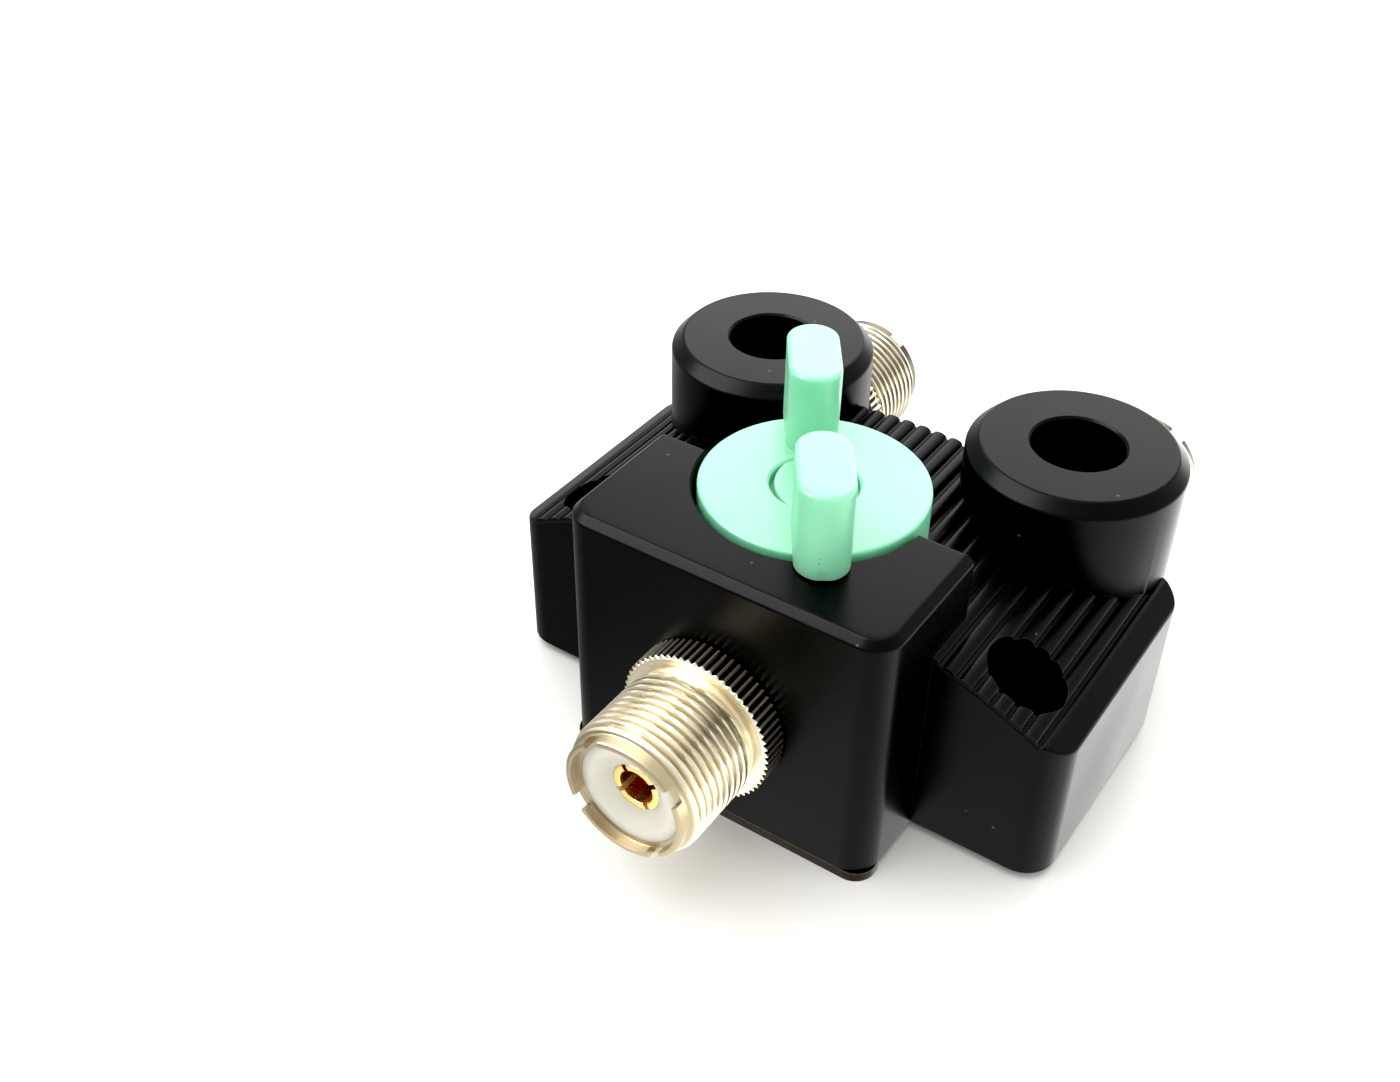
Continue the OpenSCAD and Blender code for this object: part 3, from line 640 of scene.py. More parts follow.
def signal_cuts():
    """The rotor's chamber and the channels from it to the three sockets."""
    top = SOCKET_Z + CHANNEL_WIDTH / 2
    half = CHANNEL_WIDTH / 2
    end = REAR_SEAT - SOCKET_WALL
    cuts = [round_hole((0, 0), CHAMBER_R, UNDER, CHAMBER_TOP)]
    cuts.append(prism(box_outline((-half, FRONT_FACE + SOCKET_WALL), (half, 0)), UNDER, top))
    for side in (-1, 1):
        middle = side * TOWER_X
        cuts.append(prism(bar_outline((0, 0), (middle, end - half), half), UNDER, top))
        cuts.append(prism(box_outline((middle - half, TOWER_Y - 4), (middle + half, end)), UNDER, top))
    return cuts


def casting_cuts():
    cuts = [rimmed_hole((0, 0), POCKET_R, SEAT_Z, BLOCK_TOP)]
    cuts.append(round_hole((0, 0), BUSH_R, CHAMBER_TOP - 0.1, SEAT_Z + 0.1))
    cuts += signal_cuts()
    for side in (-1, 1):
        cuts.append(round_hole((side * MOUNT_X, MOUNT_Y), MOUNT_HOLE_R, 0, CROWN_Z))
        cuts.append(round_hole((side * MOUNT_X, MOUNT_Y), MOUNT_HEAD_R, MOUNT_LEDGE_Z, CROWN_Z))
        cuts.append(rimmed_hole((side * TOWER_X, TOWER_Y), WELL_R, TOWER_TOP - WELL_DEPTH, TOWER_TOP))
    for place in FACING.values():
        cuts.append(placed(turned([(STUB_R, -SOCKET_WALL - 0.1), (STUB_R, 0.5)]), place))
        cuts.append(placed(turned([(COLLAR_R + COLLAR_ROOM, 0), (COLLAR_R + COLLAR_ROOM, 5)]), place))
    cuts += [round_hole(place, SCREW_R, 0, SCREW_LEN) for place in SCREW_PLACES]
    cuts.append(round_hole((0, -TRACK_REACH), BALL_HOLE_R, spring_low.z, CROWN_Z))
    cuts.append(round_hole((0, TRACK_REACH), stop_pin_high.x, stop_pin_low.z, CROWN_Z))
    return cuts


def casting(material):
    piece = solid("casting", block_shape())
    weld_on(piece, [wing_shape()])
    tree = rib_tree()
    ribs = [rib_set("ribs", tree, offset, material) for offset in (-RIB_ANGLE / 2, RIB_ANGLE / 2)]
    combine(piece, ribs, "UNION")
    weld_on(piece, [tower_shape(side) for side in (-1, 1)] + [boss_shape(side) for side in (-1, 1)])
    carve(piece, casting_cuts())
    return dress(piece, "housing", SWITCH_BODY, material)


# -------- sockets

ROWS_PER_TURN = 14
THREAD_END = THREAD_START + THREAD_TURNS * THREAD_PITCH
THREAD_ROOT_R = THREAD_R - THREAD_DEPTH
TOOTH_ROOT_R = COLLAR_R - TOOTH_HEIGHT


def thread_radius(s, angle):
    """Radius of the coupling thread at one distance along it and one angle round it."""
    run = (s - THREAD_START) / THREAD_PITCH
    turn = (run - angle / (2 * math.pi)) % 1
    rise = min(max((abs(turn - 0.5) * 2 - CREST_SHARE) / FLANK_SHARE, 0), 1)
    fade = min(max(run, 0), max(THREAD_TURNS - run, 0), 1)
    return THREAD_ROOT_R + THREAD_DEPTH * (1 - rise) * fade ** 0.5


def shell_shape():
    """A socket shell drawn along +Z from its seat, with one long spiral thread."""
    angles, unit = circle()
    start = soften([(THREAD_ROOT_R - 0.3, -STUB_LEN), (STUB_R, -STUB_LEN), (STUB_R, 0), (TOOTH_ROOT_R, 0),
                    (TOOTH_ROOT_R, COLLAR_T), (THREAD_ROOT_R, COLLAR_T), (THREAD_ROOT_R, THREAD_START)],
                   LATHE_ROUND, 2)
    rings = [flat_ring(unit * radius, s) for radius, s in start[1:]]
    count = ROWS_PER_TURN * THREAD_TURNS
    for s in np.linspace(THREAD_START, THREAD_END, count + 1)[1:-1]:
        radii = np.array([thread_radius(s, angle) for angle in angles])
        rings.append(flat_ring(unit * radii[:, None], s))
    mouth = soften([(THREAD_ROOT_R - 0.05, THREAD_END), (RIM_R, THREAD_END + 0.1),
                    (RIM_R, SOCKET_LEN - MOUTH_EDGE), (RIM_R - MOUTH_EDGE, SOCKET_LEN), (MOUTH_R, SOCKET_LEN),
                    (MOUTH_R, INSULATOR_FACE), (INSULATOR_R, INSULATOR_FACE), (INSULATOR_R, -STUB_LEN)],
                   MOUTH_ROUND, 2)
    rings += [flat_ring(unit * radius, s) for radius, s in mouth]
    return loft(rings, closed=True)


def tooth_shape():
    """One tooth of the knurled collar, at the collar's edge on the +X side."""
    half = math.pi * TOOTH_ROOT_R / TEETH * TOOTH_SHARE
    ends = [(0.1, 0.3), (0.25, 1.0), (COLLAR_T - 0.25, 1.0), (COLLAR_T - 0.1, 0.3)]
    rings = []
    for s, share in ends:
        top = TOOTH_ROOT_R + TOOTH_HEIGHT * share
        outline = np.array([(TOOTH_ROOT_R - 0.15, -half), (TOOTH_ROOT_R - 0.02, -half), (top, -TOOTH_CREST),
                            (top, TOOTH_CREST), (TOOTH_ROOT_R - 0.02, half), (TOOTH_ROOT_R - 0.15, half)])
        rings.append(flat_ring(outline, s))
    return loft(rings)


def slot_cut(start, end, width, low, high, turn):
    """A straight slot from one radius to another, at an angle round +Z from the first notch."""
    half = width / 2
    outline = np.array([(start, -half), (end, -half), (end, half), (start, half)])
    return placed(prism(outline, low, high), Matrix.Rotation(math.radians(NOTCH_ANGLE + turn), 4, "Z"))


def notch_cuts():
    """The four notches in the shell's mouth."""
    return [slot_cut(MOUTH_R - 1, RIM_R + 2, NOTCH_WIDTH, SOCKET_LEN - NOTCH_DEPTH, SOCKET_LEN + 1, turn)
            for turn in (0, 90, 180, 270)]


def socket_shell(side, tooth, tree, material):
    place = FACING[side]
    settings = {"Shape": tooth, "Count": TEETH, "Place": place.translation * MM,
                "Turn": Vector(place.to_euler()), "Material": material}
    teeth = grown("teeth", tree, settings)
    piece = solid(side + "_shell", placed(shell_shape(), place))
    combine(piece, [teeth], "UNION")
    carve(piece, [placed(cut, place) for cut in notch_cuts()])
    return dress(piece, side + "_socket_shell", SWITCH_BODY, material, 38)


def socket_insulator(side, material):
    """The insulator, its face dished down to the contact."""
    dish = [(INSULATOR_R, INSULATOR_FACE)]
    for turn in range(0, 181, 20):
        share = (1 - math.cos(math.radians(turn))) / 2
        depth = (CONTACT_FACE - INSULATOR_FACE) * share
        dish.append((DISH_R + (CONTACT_R - DISH_R) * turn / 180, INSULATOR_FACE + depth))
    profile = soften([(TAIL_R, -SOCKET_WALL), (INSULATOR_R, -SOCKET_WALL)] + dish
                     + [(CONTACT_R, CONTACT_BACK), (TAIL_R, CONTACT_BACK), (TAIL_R, -SOCKET_WALL)],
                     LATHE_ROUND, 3)
    piece = solid(side + "_insulator", placed(turned(profile[:-1], 96, closed=True), FACING[side]))
    return dress(piece, side + "_socket_insulator", SWITCH_BODY, material)


def contact_shape():
    """A centre contact drawn along +Z from the socket's seat."""
    floor = CONTACT_FACE - CONTACT_BORE_DEPTH
    outside = [(TAIL_R, -TAIL_END), (TAIL_R, CONTACT_BACK), (CONTACT_R, CONTACT_BACK),
               (CONTACT_R, CONTACT_FACE)]
    inside = [(CONTACT_BORE_R, CONTACT_FACE), (CONTACT_BORE_R, floor), (0.05, floor - DRILL_POINT)]
    return turned(soften(outside + inside, CONTACT_ROUND, 4), 96)


def socket_contact(side, material):
    """A centre contact with its crossed slots, and the flat that its feed strip lies on."""
    place = FACING[side]
    past = CONTACT_R + 1
    foot = CONTACT_FACE - CONTACT_SLOT_DEPTH
    slots = [slot_cut(-past, past, CONTACT_SLOT, foot, CONTACT_FACE + 1, turn) for turn in (0, 90)]
    cuts = [placed(slot, place) for slot in slots]
    seat = place.translation
    toward = -1 if side == "front" else 1
    from_y = seat.y - toward * (SOCKET_WALL + 0.1)
    to_y = seat.y - toward * (TAIL_END + 2)
    low = (seat.x - 3, min(from_y, to_y))
    high = (seat.x + 3, max(from_y, to_y))
    cuts.append(prism(box_outline(low, high), SOCKET_Z, SOCKET_Z + 4))
    piece = solid(side + "_contact", placed(contact_shape(), place))
    carve(piece, cuts)
    return dress(piece, side + "_socket_contact", SWITCH_BODY, material)


# -------- knob and fixings

def post_shape(side):
    """A finger post with round ends and a softened top."""
    rings = []
    for inset, height in soften([(0, POST_FOOT), (0, POST_TOP), (1, POST_TOP)], POST_ROUND, 6):
        outline = bar_outline((0, side * POST_INNER), (0, side * POST_OUTER), POST_HALF_WIDTH - inset)
        rings.append(flat_ring(outline, height))
    return loft(rings)


def mark_cut():
    """The small arched mark at the foot of the front post."""
    half = MARK_HALF_WIDTH
    outline = np.vstack([arc((0, POST_FOOT + half), half, 0, 180, 16),
                         [(-half, POST_FOOT - 1), (half, POST_FOOT - 1)]])
    face = -POST_OUTER - POST_HALF_WIDTH
    return loft([upright_ring(outline, y) for y in (face - 2, face + MARK_DEPTH)])


def track_cut(radius, half_angle, heading, top, steps=32):
    """A curved slot under the knob, on the circle where the ball and the stop pin stand."""
    start = heading - half_angle
    end = heading + half_angle
    outline = np.vstack([arc((0, 0), TRACK_REACH + radius, start, end, steps),
                         arc((0, 0), TRACK_REACH - radius, end, start, steps)])
    return prism(outline, SEAT_Z, top)


def knob_cuts():
    """The recesses for the cap, screw and shaft, and underneath for the flange, ball and stop pin."""
    web_floor = washer_high.z + JUST_CLEAR
    web_top = web_floor + KNOB_WEB
    drive_r = SHAFT_R + SHAFT_FIT
    angle = math.degrees(math.asin(SHAFT_FLAT / drive_r))
    drive = arc((0, 0), drive_r, 180 - angle, 360 + angle, 48)
    cuts = [rimmed_hole((0, 0), CAP_R + CAP_PLAY, cap_low.z, KNOB_TOP),
            round_hole((0, 0), CAP_R - CAP_LEDGE, web_top, KNOB_TOP),
            round_hole((0, 0), KNOB_SCREW_HOLE_R, web_floor, KNOB_TOP),
            round_hole((0, 0), bush_high.x + FLANGE_PLAY, SKIRT_Z - 1, web_floor),
            prism(drive, web_floor - 1, web_top - SHAFT_ROOF)]
    track_top = ball_high.z + JUST_CLEAR
    cuts.append(track_cut(TRACK_R, KNOB_REST, -90, track_top))
    for turn in (-KNOB_REST, KNOB_REST):
        heading = math.radians(turn - 90)
        place = (TRACK_REACH * math.cos(heading), TRACK_REACH * math.sin(heading))
        cuts.append(round_hole(place, TRACK_R + DIMPLE_PLAY, SEAT_Z, track_top + DIMPLE_DEPTH))
    slot_r = stop_pin_high.x + PIN_PLAY
    slot_angle = KNOB_REST + math.degrees(math.asin(slot_r / TRACK_REACH))
    cuts.append(track_cut(slot_r, slot_angle, 90, stop_pin_high.z + PIN_ROOM))
    cuts.append(mark_cut())
    return cuts


TO_REST = Matrix.Rotation(math.radians(KNOB_REST), 4, "Z")


def knob(material):
    drum = turned(soften([(KNOB_R, SKIRT_Z), (KNOB_R, KNOB_TOP), (KNOB_R - 2, KNOB_TOP)], KNOB_ROUND, 5))
    piece = solid("knob", placed(drum, TO_REST))
    weld_on(piece, [placed(post_shape(side), TO_REST) for side in (-1, 1)])
    carve(piece, [placed(cut, TO_REST) for cut in knob_cuts()])
    return dress(piece, "knob", TURNING_PARTS, material)


def knob_cap(material):
    """The cap in the knob's middle, narrower across the sides where it is prised out."""
    angles, unit = circle()
    offset = CAP_SIDE_R - CAP_HALF_WAIST
    reach = np.sqrt(CAP_SIDE_R ** 2 - (offset * np.sin(angles)) ** 2) - offset * np.abs(np.cos(angles))
    radius = np.minimum(CAP_R, reach)
    profile = soften([(0, cap_low.z), (0, cap_high.z), (1, cap_high.z)], CAP_ROUND, 4)
    rings = [flat_ring(unit * (radius - inset)[:, None], height) for inset, height in profile]
    piece = solid("cap", placed(loft(rings), TO_REST))
    return dress(piece, "knob_cap", TURNING_PARTS, material)


def base_screws(material):
    """The countersunk screws under the plate, each stopped at its own angle."""
    profile = soften([(SCREW_HEAD_R - 0.3, 0), (SCREW_HEAD_R, 0), (SCREW_R, SCREW_SINK), (SCREW_R, SCREW_LEN),
                      (0.3, SCREW_LEN)], 0.1, 2)
    screw = solid("screw", turned(profile, 48))
    arms = [rounded_outline((-x, -y), (x, y), 0.05, 2)
            for x, y in ((RECESS_REACH, RECESS_HALF_WIDTH), (RECESS_HALF_WIDTH, RECESS_REACH))]
    carve(screw, [prism(arm, -0.5, RECESS_DEPTH) for arm in arms])
    places = bpy.data.meshes.new("screw places")
    places.from_pydata([(x * MM, y * MM, 0) for x, y in SCREW_PLACES], [], [])
    piece = grown("screws", scatter_tree(), {"Shape": screw, "Seed": 5, "Material": material}, places)
    bpy.data.objects.remove(screw)
    return dress(piece, "base_screws", SWITCH_BODY, material)


# -------- finishes

def surface_grain_group():
    """Fine grain and slow drift over a surface, both from 0 to 1."""
    sketch = NodeSketch("surface grain", "ShaderNodeTree")
    place = sketch.input("Vector", "Vector")
    fine = sketch.input("Fine Scale", value=2500)
    broad = sketch.input("Broad Scale", value=60)
    for name, scale, detail in (("Grain", fine, 3.0), ("Drift", broad, 2.0)):
        noise = {"Vector": place, "Scale": scale, "Detail": detail}
        sketch.output(name, sketch.wire("ShaderNodeTexNoise", noise))
    return sketch.tree


def dust_group():
    """Sparse specks of dust: 1 on a speck and 0 elsewhere."""
    sketch = NodeSketch("dust specks", "ShaderNodeTree")
    place = sketch.input("Vector", "Vector")
    scale = sketch.input("Scale", value=900)
    share = sketch.input("Share", value=0.1)
    size = sketch.input("Size", value=0.12)
    cells = sketch.node("ShaderNodeTexVoronoi", {"Vector": place, "Scale": scale})
    chance = sketch.wire("ShaderNodeSeparateColor", {"Color": cells.outputs["Color"]})
    chosen = sketch.math("LESS_THAN", chance, share)
    near = sketch.math("LESS_THAN", cells.outputs["Distance"], size)
    sketch.output("Mask", sketch.math("MULTIPLY", chosen, near))
    return sketch.tree


def edge_group():
    """Picks out the outer edges of a shape: 1 at an edge and 0 on open faces."""
    sketch = NodeSketch("edge mask", "ShaderNodeTree")
    width = sketch.input("Width", value=0.0002)
    strength = sketch.input("Strength", value=6.0)
    soft = sketch.wire("ShaderNodeBevel", {"Radius": width}, samples=6)
    true = sketch.node("ShaderNodeNewGeometry")
    turn = sketch.math("SUBTRACT", 1, sketch.dot(soft, true.outputs["Normal"]))
    mask = sketch.wire("ShaderNodeMath", {0: turn, 1: strength}, operation="MULTIPLY", use_clamp=True)
    sketch.output("Mask", mask)
    return sketch.tree


def lathe_group():
    """Lathe marks round an axis along Y, which vary with radius and length."""
    sketch = NodeSketch("lathe marks", "ShaderNodeTree")
    place = sketch.input("Vector", "Vector")
    scale = sketch.input("Scale", value=3000)
    x, y, z = sketch.node("ShaderNodeSeparateXYZ", {0: place}).outputs
    square = sketch.math("ADD", sketch.math("MULTIPLY", x, x), sketch.math("MULTIPLY", z, z))
    radius = sketch.math("SQRT", square)
    turn = sketch.math("MULTIPLY", sketch.math("ARCTAN2", x, z), 0.0004)
    lay = sketch.wire("ShaderNodeCombineXYZ", {0: radius, 1: y, 2: turn})
    sketch.output("Marks", sketch.wire("ShaderNodeTexNoise", {"Vector": lay, "Scale": scale, "Detail": 2.0}))
    sketch.output("Radius", radius)
    sketch.output("Reach", sketch.math("ABSOLUTE", y))
    return sketch.tree


GRAIN = surface_grain_group()
DUST = dust_group()
EDGE = edge_group()
LATHE = lathe_group()


class Finish(NodeMaker):
    """A material whose colour drifts between two tones, and short ways to work it up."""

    def __init__(self, name, low, high, fine, broad, centre=(0, 0, 0), **sockets):
        self.material = bpy.data.materials.new(name)
        super().__init__(bare_tree(self.material))
        self.shader = self.node("ShaderNodeBsdfPrincipled", self.spelled(sockets))
        self.out = self.node("ShaderNodeOutputMaterial", {"Surface": self.shader.outputs[0]})
        place = self.node("ShaderNodeTexCoord").outputs["Object"]
        shift = [-value * MM for value in centre]
        self.place = self.wire("ShaderNodeMapping", {"Vector": place, "Location": shift})
        self.grain, self.drift = self.group(GRAIN, Fine_Scale=fine, Broad_Scale=broad).outputs
        self.base = self.colour_mix(self.drift, (*low, 1), (*high, 1))

    def spelled(self, inputs):
        return {key.replace("_", " "): value for key, value in inputs.items()}

    def group(self, tree, **inputs):
        """A shared node group. All but the edge mask start from the surface's own place."""
        if tree != EDGE:
            inputs["Vector"] = self.place
        return self.node("ShaderNodeGroup", self.spelled(inputs), node_tree=tree)

    def colour_mix(self, amount, low, high):
        return self.node("ShaderNodeMix", {0: amount, 6: low, 7: high}, data_type="RGBA").outputs[2]

    def step(self, value, low, high, start, end):
        """A change from low to high between two distances, in millimetres."""
        return self.span(value, low, high, (start * MM, end * MM))

    def edge_wear_and_highlight(self, colour, edge_colour, width, strength):
        """A colour that turns to another along the shape's edges: a painted edge highlight, which on the
        plate and the inner metal parts also stands for bare, worn edges.
        """
        edge = self.group(EDGE, Width=width, Strength=strength)
        return self.colour_mix(edge.outputs[0], colour, edge_colour)

    def feed(self, name, socket):
        self.tree.links.new(socket, self.shader.inputs[name])

    def coat(self, colour, polish, low, high):
        """The colour, and a roughness that varies between two values."""
        self.feed("Base Color", colour)
        self.feed("Roughness", self.span(polish, low, high))

    def bump(self, height, strength, distance):
        raised = {"Height": height, "Strength": strength, "Distance": distance}
        self.feed("Normal", self.wire("ShaderNodeBump", raised))


def satin_black():
    """Satin coat on the casting, with painted highlights along its edges and a few specks of dust."""
    finish = Finish("satin black", (0.0016, 0.0018, 0.0018), (0.0028, 0.0032, 0.0031), 2600, 55,
                    Specular_IOR_Level=0.05)
    dust = finish.group(DUST, Scale=620, Share=0.035, Size=0.11)
    # painted highlight: the edges a lighter grey
    edge_wear_and_highlight = finish.edge_wear_and_highlight(finish.base, (0.016, 0.016, 0.015, 1), 0.00022, 5)
    specked = finish.colour_mix(dust.outputs[0], edge_wear_and_highlight, (0.06, 0.06, 0.057, 1))
    finish.coat(specked, finish.drift, 0.26, 0.32)
    finish.bump(finish.grain, 0.12, 0.00003)
    return finish.material


# Colours of the nickel: the dull and the bright plate, and the painted shade in the thread's roots. The rear
# sockets' copy is darker all over: painted shade.
FRONT_NICKEL = ((0.83, 0.75, 0.57), (0.92, 0.86, 0.69), (0.42, 0.35, 0.22, 1))
SHADED_REAR_NICKEL = ((0.46, 0.42, 0.33), (0.56, 0.52, 0.42), (0.07, 0.055, 0.035, 1))


def bright_nickel(side):
    """Warm nickel plate over turned brass, with painted shade in the thread's roots and inside the mouth, and
    painted shade and reflection, near black, between the teeth.
    """
    dull, bright, root_shade_tone = FRONT_NICKEL if side == "front" else SHADED_REAR_NICKEL
    finish = Finish("nickel " + side, dull, bright, 5200, 160, FACING[side].translation, Metallic=1.0)
    marks = finish.group(LATHE, Scale=2600)
    radius = marks.outputs["Radius"]
    reach = marks.outputs["Reach"]
    wear = finish.span(marks.outputs["Marks"], 0, 0.5)
    worn = finish.colour_mix(wear, finish.base, (0.56, 0.47, 0.31, 1))
    on_thread = finish.step(reach, 0, 1, THREAD_START, THREAD_START + 0.2)
    # painted shade: the thread's roots darker and browner
    root = finish.step(radius, on_thread, 0, THREAD_ROOT_R, THREAD_R - 0.15)
    root_shaded = finish.colour_mix(root, worn, root_shade_tone)
    # painted shade: the inside of the mouth darker and browner
    within = finish.step(radius, 1, 0, MOUTH_R + 0.02, MOUTH_R + 0.06)
    mouth_shaded = finish.colour_mix(within, root_shaded, (0.42, 0.35, 0.24, 1))
    on_collar = finish.step(radius, 0, 1, TOOTH_ROOT_R - 0.2, TOOTH_ROOT_R - 0.15)
    flute = finish.step(reach, on_collar, 0, COLLAR_T - 0.35, COLLAR_T - 0.2)
    crest = finish.step(radius, 0, 1, COLLAR_R - 0.30, COLLAR_R - 0.05)
    # painted shade and reflection of the black casting: the flutes near black and the crests dimmed
    knurl_shade = finish.colour_mix(crest, (0.05, 0.042, 0.03, 1), (0.46, 0.42, 0.34, 1))
    finish.feed("Base Color", finish.colour_mix(flute, mouth_shaded, knurl_shade))
    satin = finish.span(marks.outputs["Marks"], 0.26, 0.36)
    toothed = finish.span(crest, 0.12, 0.34)
    finish.feed("Roughness", finish.span(flute, satin, toothed, (0, 1)))
    finish.bump(marks.outputs[0], 0.10, 0.00002)
    return finish.material


def gold_plate(side):
    """Gold on the centre contact, with painted highlights along its edges and painted shade, red-brown, down
    its bore.
    """
    finish = Finish("gold " + side, (0.95, 0.62, 0.19), (1.0, 0.75, 0.32), 4200, 240,
                    FACING[side].translation, Metallic=1.0)
    marks = finish.group(LATHE, Scale=2600)
    # painted highlight: pale cream along the edges
    ring = finish.edge_wear_and_highlight(finish.base, (1.0, 0.90, 0.60, 1), 0.00018, 5)
    # painted shade: red-brown down the bore
    within = finish.step(marks.outputs["Radius"], 1, 0, CONTACT_BORE_R, CONTACT_BORE_R + 0.1)
    bore = finish.step(marks.outputs["Reach"], within, 0, CONTACT_FACE - 1.2, CONTACT_FACE - 0.2)
    finish.coat(finish.colour_mix(bore, ring, (0.80, 0.26, 0.08, 1)), finish.grain, 0.20, 0.32)
    return finish.material


def waxy_white():
    """Insulator: milky plastic that lets a little light into itself."""
    finish = Finish("waxy white", (0.61, 0.585, 0.50), (0.69, 0.665, 0.58), 3200, 180,
                    Subsurface_Weight=0.8, Subsurface_Scale=0.004, Subsurface_Radius=(1.0, 0.9, 0.8))
    finish.coat(finish.base, finish.grain, 0.38, 0.52)
    finish.bump(finish.grain, 0.08, 0.00002)
    return finish.material


def jade_plastic():
    """The knob's moulded plastic: pale green, faintly clouded and softly translucent."""
    finish = Finish("jade plastic", (0.20, 0.58, 0.36), (0.25, 0.66, 0.42), 2200, 90, Subsurface_Weight=0.55,
                    Subsurface_Scale=0.003, Subsurface_Radius=(0.5, 1.0, 0.8), Specular_IOR_Level=0.5)
    dust = finish.group(DUST, Scale=800, Share=0.03, Size=0.09)
    # painted highlight: the edges a paler, brighter green
    rim = finish.edge_wear_and_highlight(finish.base, (0.45, 0.86, 0.66, 1), 0.0004, 4)
    specked = finish.colour_mix(dust.outputs[0], rim, (0.10, 0.34, 0.24, 1))
    finish.coat(specked, finish.drift, 0.26, 0.36)
    finish.bump(finish.grain, 0.06, 0.00003)
    return finish.material


def dark_bronze():
    """The base plate: blackened brass, browner along its cut edge."""
    finish = Finish("dark bronze", (0.005, 0.004, 0.003), (0.012, 0.009, 0.006), 1800, 120, Metallic=1.0)
    # browner along the cut edge: bare brass, and a painted glint
    edged = finish.edge_wear_and_highlight(finish.base, (0.30, 0.20, 0.10, 1), 0.00009, 4)
    finish.coat(edged, finish.grain, 0.35, 0.55)
    finish.bump(finish.grain, 0.15, 0.00003)
    return finish.material


def plain_metal(name, low, high, roughness):
    """Metal of the inner parts, slightly uneven in colour and polish."""
    finish = Finish(name, low, high, 2800, 220, Metallic=1.0)
    # lighter along the edges: painted highlight, and bare worn metal
    edge_colour = (*[min(value * 1.25, 1) for value in high], 1)
    edged = finish.edge_wear_and_highlight(finish.base, edge_colour, 0.0002, 4)
    finish.coat(edged, finish.grain, roughness, roughness + 0.14)
    finish.bump(finish.grain, 0.08, 0.00002)
    return finish.material


# How bright polished faces see the floor's painted glow: on the left, in the middle, on the right,
# what the far left adds, and what share is left far in front. Where it changes is in metres from the knob's
# axis.
FLOOR_DIM = 0.50
FLOOR_MIDDLE = 1.75
FLOOR_BRILLIANT = 3.5
FLOOR_LEFT = 0.7
FLOOR_AHEAD = 0.3


def studio_floor_finish():
    """White paper. Polished faces see a painted glow in its place, dim in front on the left and brilliant on
    the right.
    """
    finish = Finish("white paper", (0.90, 0.893, 0.86), (0.92, 0.913, 0.885), 900, 8, Specular_IOR_Level=0.2)
    finish.coat(finish.base, finish.grain, 0.6, 0.75)
    x, y = finish.node("ShaderNodeSeparateXYZ", {0: finish.place}).outputs[:2]
    beside = finish.span(x, FLOOR_DIM, FLOOR_MIDDLE, (-0.03, 0.006))
    ahead = finish.span(y, FLOOR_AHEAD, 1, (-0.20, -0.07))
    near = finish.math("MULTIPLY", beside, ahead)
    to_right = finish.math("ADD", finish.math("MULTIPLY", x, 0.85), finish.math("MULTIPLY", y, 0.53))
    right = finish.span(to_right, 0, FLOOR_BRILLIANT - FLOOR_MIDDLE, (0.02, 0.05))
    left = finish.span(finish.math("SUBTRACT", y, x), 0, FLOOR_LEFT, (0.09, 0.16))
    strength = finish.math("ADD", finish.math("ADD", near, right), left)
    # painted glow, seen only by polished faces, in place of the paper
    glow = finish.wire("ShaderNodeEmission", {"Color": (1, 1, 0.985, 1), "Strength": strength})
    path = finish.node("ShaderNodeLightPath")
    swap = finish.wire("ShaderNodeMixShader", {0: path.outputs["Is Glossy Ray"], 1: finish.shader.outputs[0],
                                               2: glow})
    finish.tree.links.new(swap, finish.out.inputs["Surface"])
    return finish.material


# -------- studio

def studio_floor():
    reach = 3000
    points = np.array([(-reach, -reach, 0), (reach, -reach, 0), (reach, reach, 0), (-reach, reach, 0)], float)
    floor = solid("studio_floor", (points, [(0, 1, 2, 3)]))
    floor.data.materials.append(studio_floor_finish())


SKY_BRIGHT = Vector((0.25, 0.80, 0.55)).normalized()
SKY_LOW = 0.88
SKY_HIGH = 1.30


def studio_sky():
    """A white surround, brightest high up behind the switch and dimmer in front of it."""
    world = bpy.data.worlds.new("studio surround")
    bpy.context.scene.world = world
    sky = NodeMaker(bare_tree(world))
    way = sky.node("ShaderNodeTexCoord").outputs["Generated"]
    strength = sky.span(sky.dot(way, SKY_BRIGHT), SKY_LOW, SKY_HIGH, (0.1, 1))
    light = sky.wire("ShaderNodeBackground", {"Color": (1.0, 1.0, 0.985, 1), "Strength": strength})
    sky.node("ShaderNodeOutputWorld", {"Surface": light})


def softbox(name, place, target, size, power):
    data = bpy.data.lights.new(name, "AREA")
    data.shape = "RECTANGLE"
    data.size, data.size_y = size
    data.energy = power
    lamp = bpy.data.objects.new(name, data)
    lamp.location = place
    lamp.rotation_euler = (Vector(target) - Vector(place)).to_track_quat("-Z", "Y").to_euler()
    bpy.context.scene.collection.objects.link(lamp)
    return lamp


def studio_lights():
    middle = (0, 0, 0.02)
    softbox("overhead light", (-0.32, -0.05, 0.80), middle, (1.2, 1.3), 7.5)
    softbox("back light", (-0.25, 0.90, 0.54), middle, (0.9, 0.5), 6.5)
    card = softbox("left card", (-0.52, -0.42, 0.72), middle, (0.75, 0.75), 24.0)
    card.visible_diffuse = False


CAMERA_PLACE = Vector((64.87, -118.65, 131.39)) * MM
CAMERA_HEADING = math.radians(33.825)
CAMERA_TILT = math.radians(38.10)
CAMERA_ROLL = math.radians(0.833)
CAMERA_LENS = 40.02
SENSOR_WIDTH = 36.0


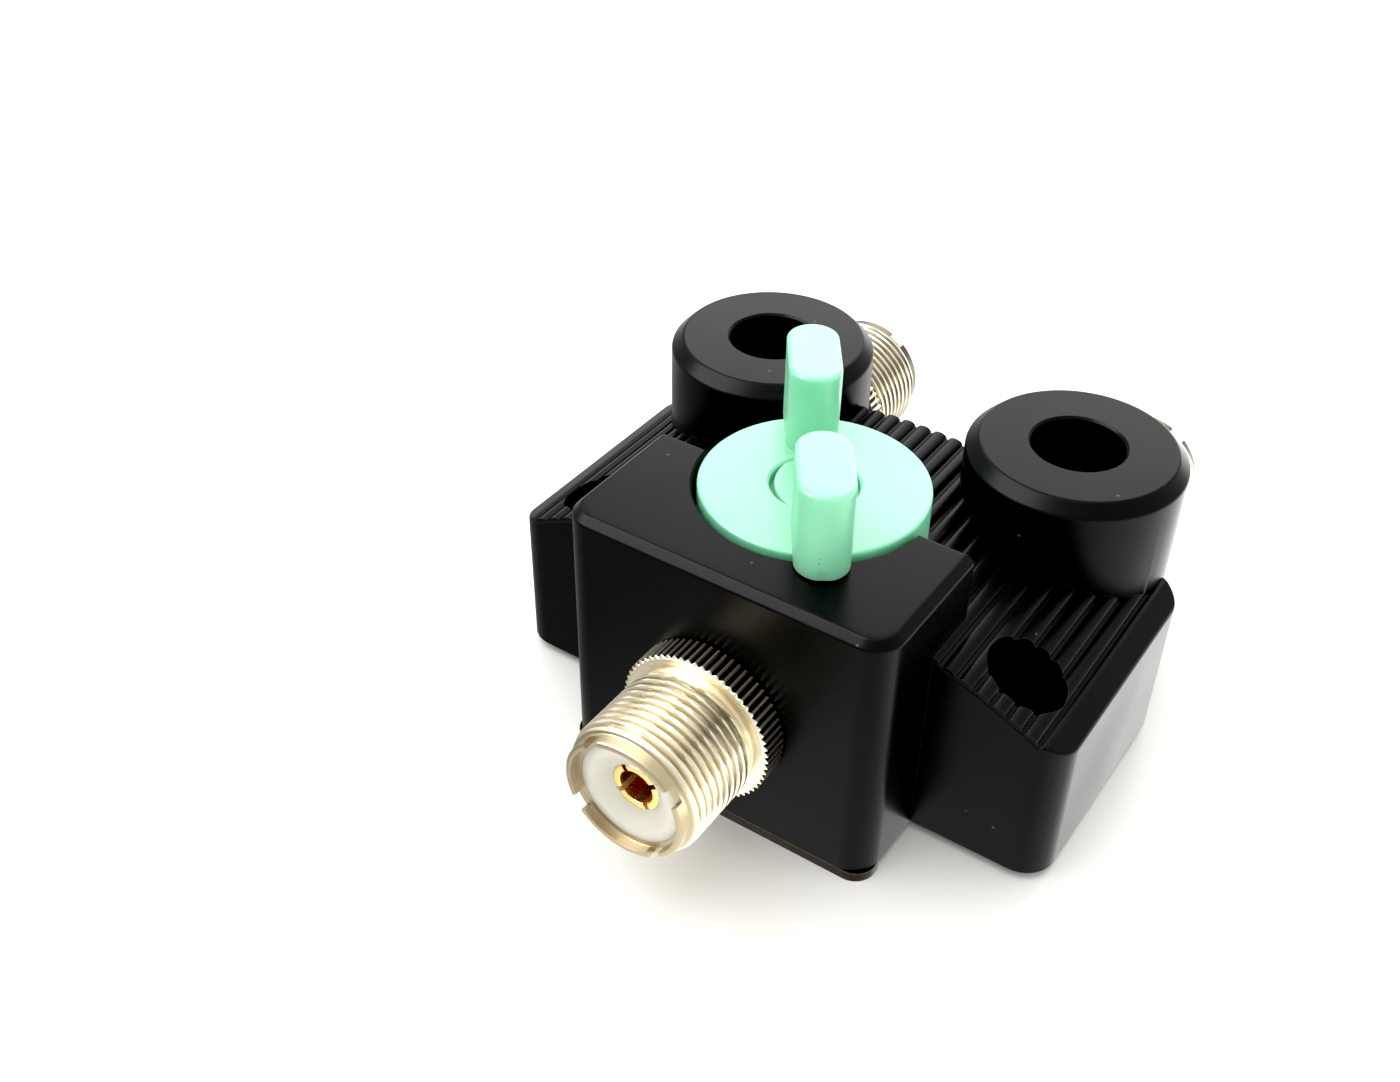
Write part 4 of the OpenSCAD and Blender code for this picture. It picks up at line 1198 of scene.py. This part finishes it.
def camera():
    back = Vector((math.sin(CAMERA_HEADING) * math.cos(CAMERA_TILT),
                   -math.cos(CAMERA_HEADING) * math.cos(CAMERA_TILT), math.sin(CAMERA_TILT)))
    level = Vector((math.cos(CAMERA_HEADING), math.sin(CAMERA_HEADING), 0))
    upright = back.cross(level)
    right = level * math.cos(CAMERA_ROLL) + upright * math.sin(CAMERA_ROLL)
    up = upright * math.cos(CAMERA_ROLL) - level * math.sin(CAMERA_ROLL)
    data = bpy.data.cameras.new("camera")
    data.sensor_width = SENSOR_WIDTH
    data.lens = CAMERA_LENS
    data.clip_start = 0.01
    data.clip_end = 20
    view = bpy.data.objects.new("camera", data)
    view.matrix_world = Matrix.Translation(CAMERA_PLACE) @ Matrix((right, up, back)).transposed().to_4x4()
    bpy.context.scene.collection.objects.link(view)
    bpy.context.scene.camera = view


BLACK_LEVEL = 0.0035
WHITE_LEVEL = 0.93


def tone_curve():
    """Deep blacks and a clean white, as in the studio picture."""
    tones = bpy.context.scene.view_settings
    tones.view_transform = "Standard"
    tones.use_curve_mapping = True
    tones.curve_mapping.black_level = [BLACK_LEVEL] * 3
    tones.curve_mapping.white_level = [WHITE_LEVEL] * 3
    tones.curve_mapping.update()


# -------- the whole switch

def paint_node(node, material):
    """Gives a construction solid that stays in sight its finish."""
    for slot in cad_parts[node].material_slots:
        slot.material = material


def build_switch():
    black = satin_black()
    steel = plain_metal("steel", (0.42, 0.42, 0.43), (0.58, 0.58, 0.58), 0.28)
    brass = plain_metal("brass", (0.58, 0.42, 0.18), (0.74, 0.58, 0.30), 0.26)
    silver = plain_metal("silver strip", (0.70, 0.70, 0.68), (0.84, 0.84, 0.81), 0.22)
    white = waxy_white()
    jade = jade_plastic()
    casting(black)
    tooth = solid("tooth", tooth_shape())
    tree = ring_tree()
    for side in ("front", "left", "right"):
        socket_shell(side, tooth, tree, bright_nickel(side))
        socket_insulator(side, white)
        socket_contact(side, gold_plate(side))
    bpy.data.objects.remove(tooth)
    knob(jade)
    knob_cap(jade)
    base_screws(steel)
    paint_node("base_plate", dark_bronze())
    for node in ("knob_screw", "shaft", "thrust_washer", "retaining_clip", "rotor_pin", "detent_ball",
                 "detent_spring", "stop_pin"):
        paint_node(node, steel)
    for node in ("shaft_bush", "blade_rivet"):
        paint_node(node, brass)
    for node in ("contact_blade", "front_feed", "left_feed", "right_feed"):
        paint_node(node, silver)
    for node in ("rotor", "feed_posts"):
        paint_node(node, white)


camera()
studio_floor()
studio_sky()
studio_lights()
build_switch()
tone_curve()
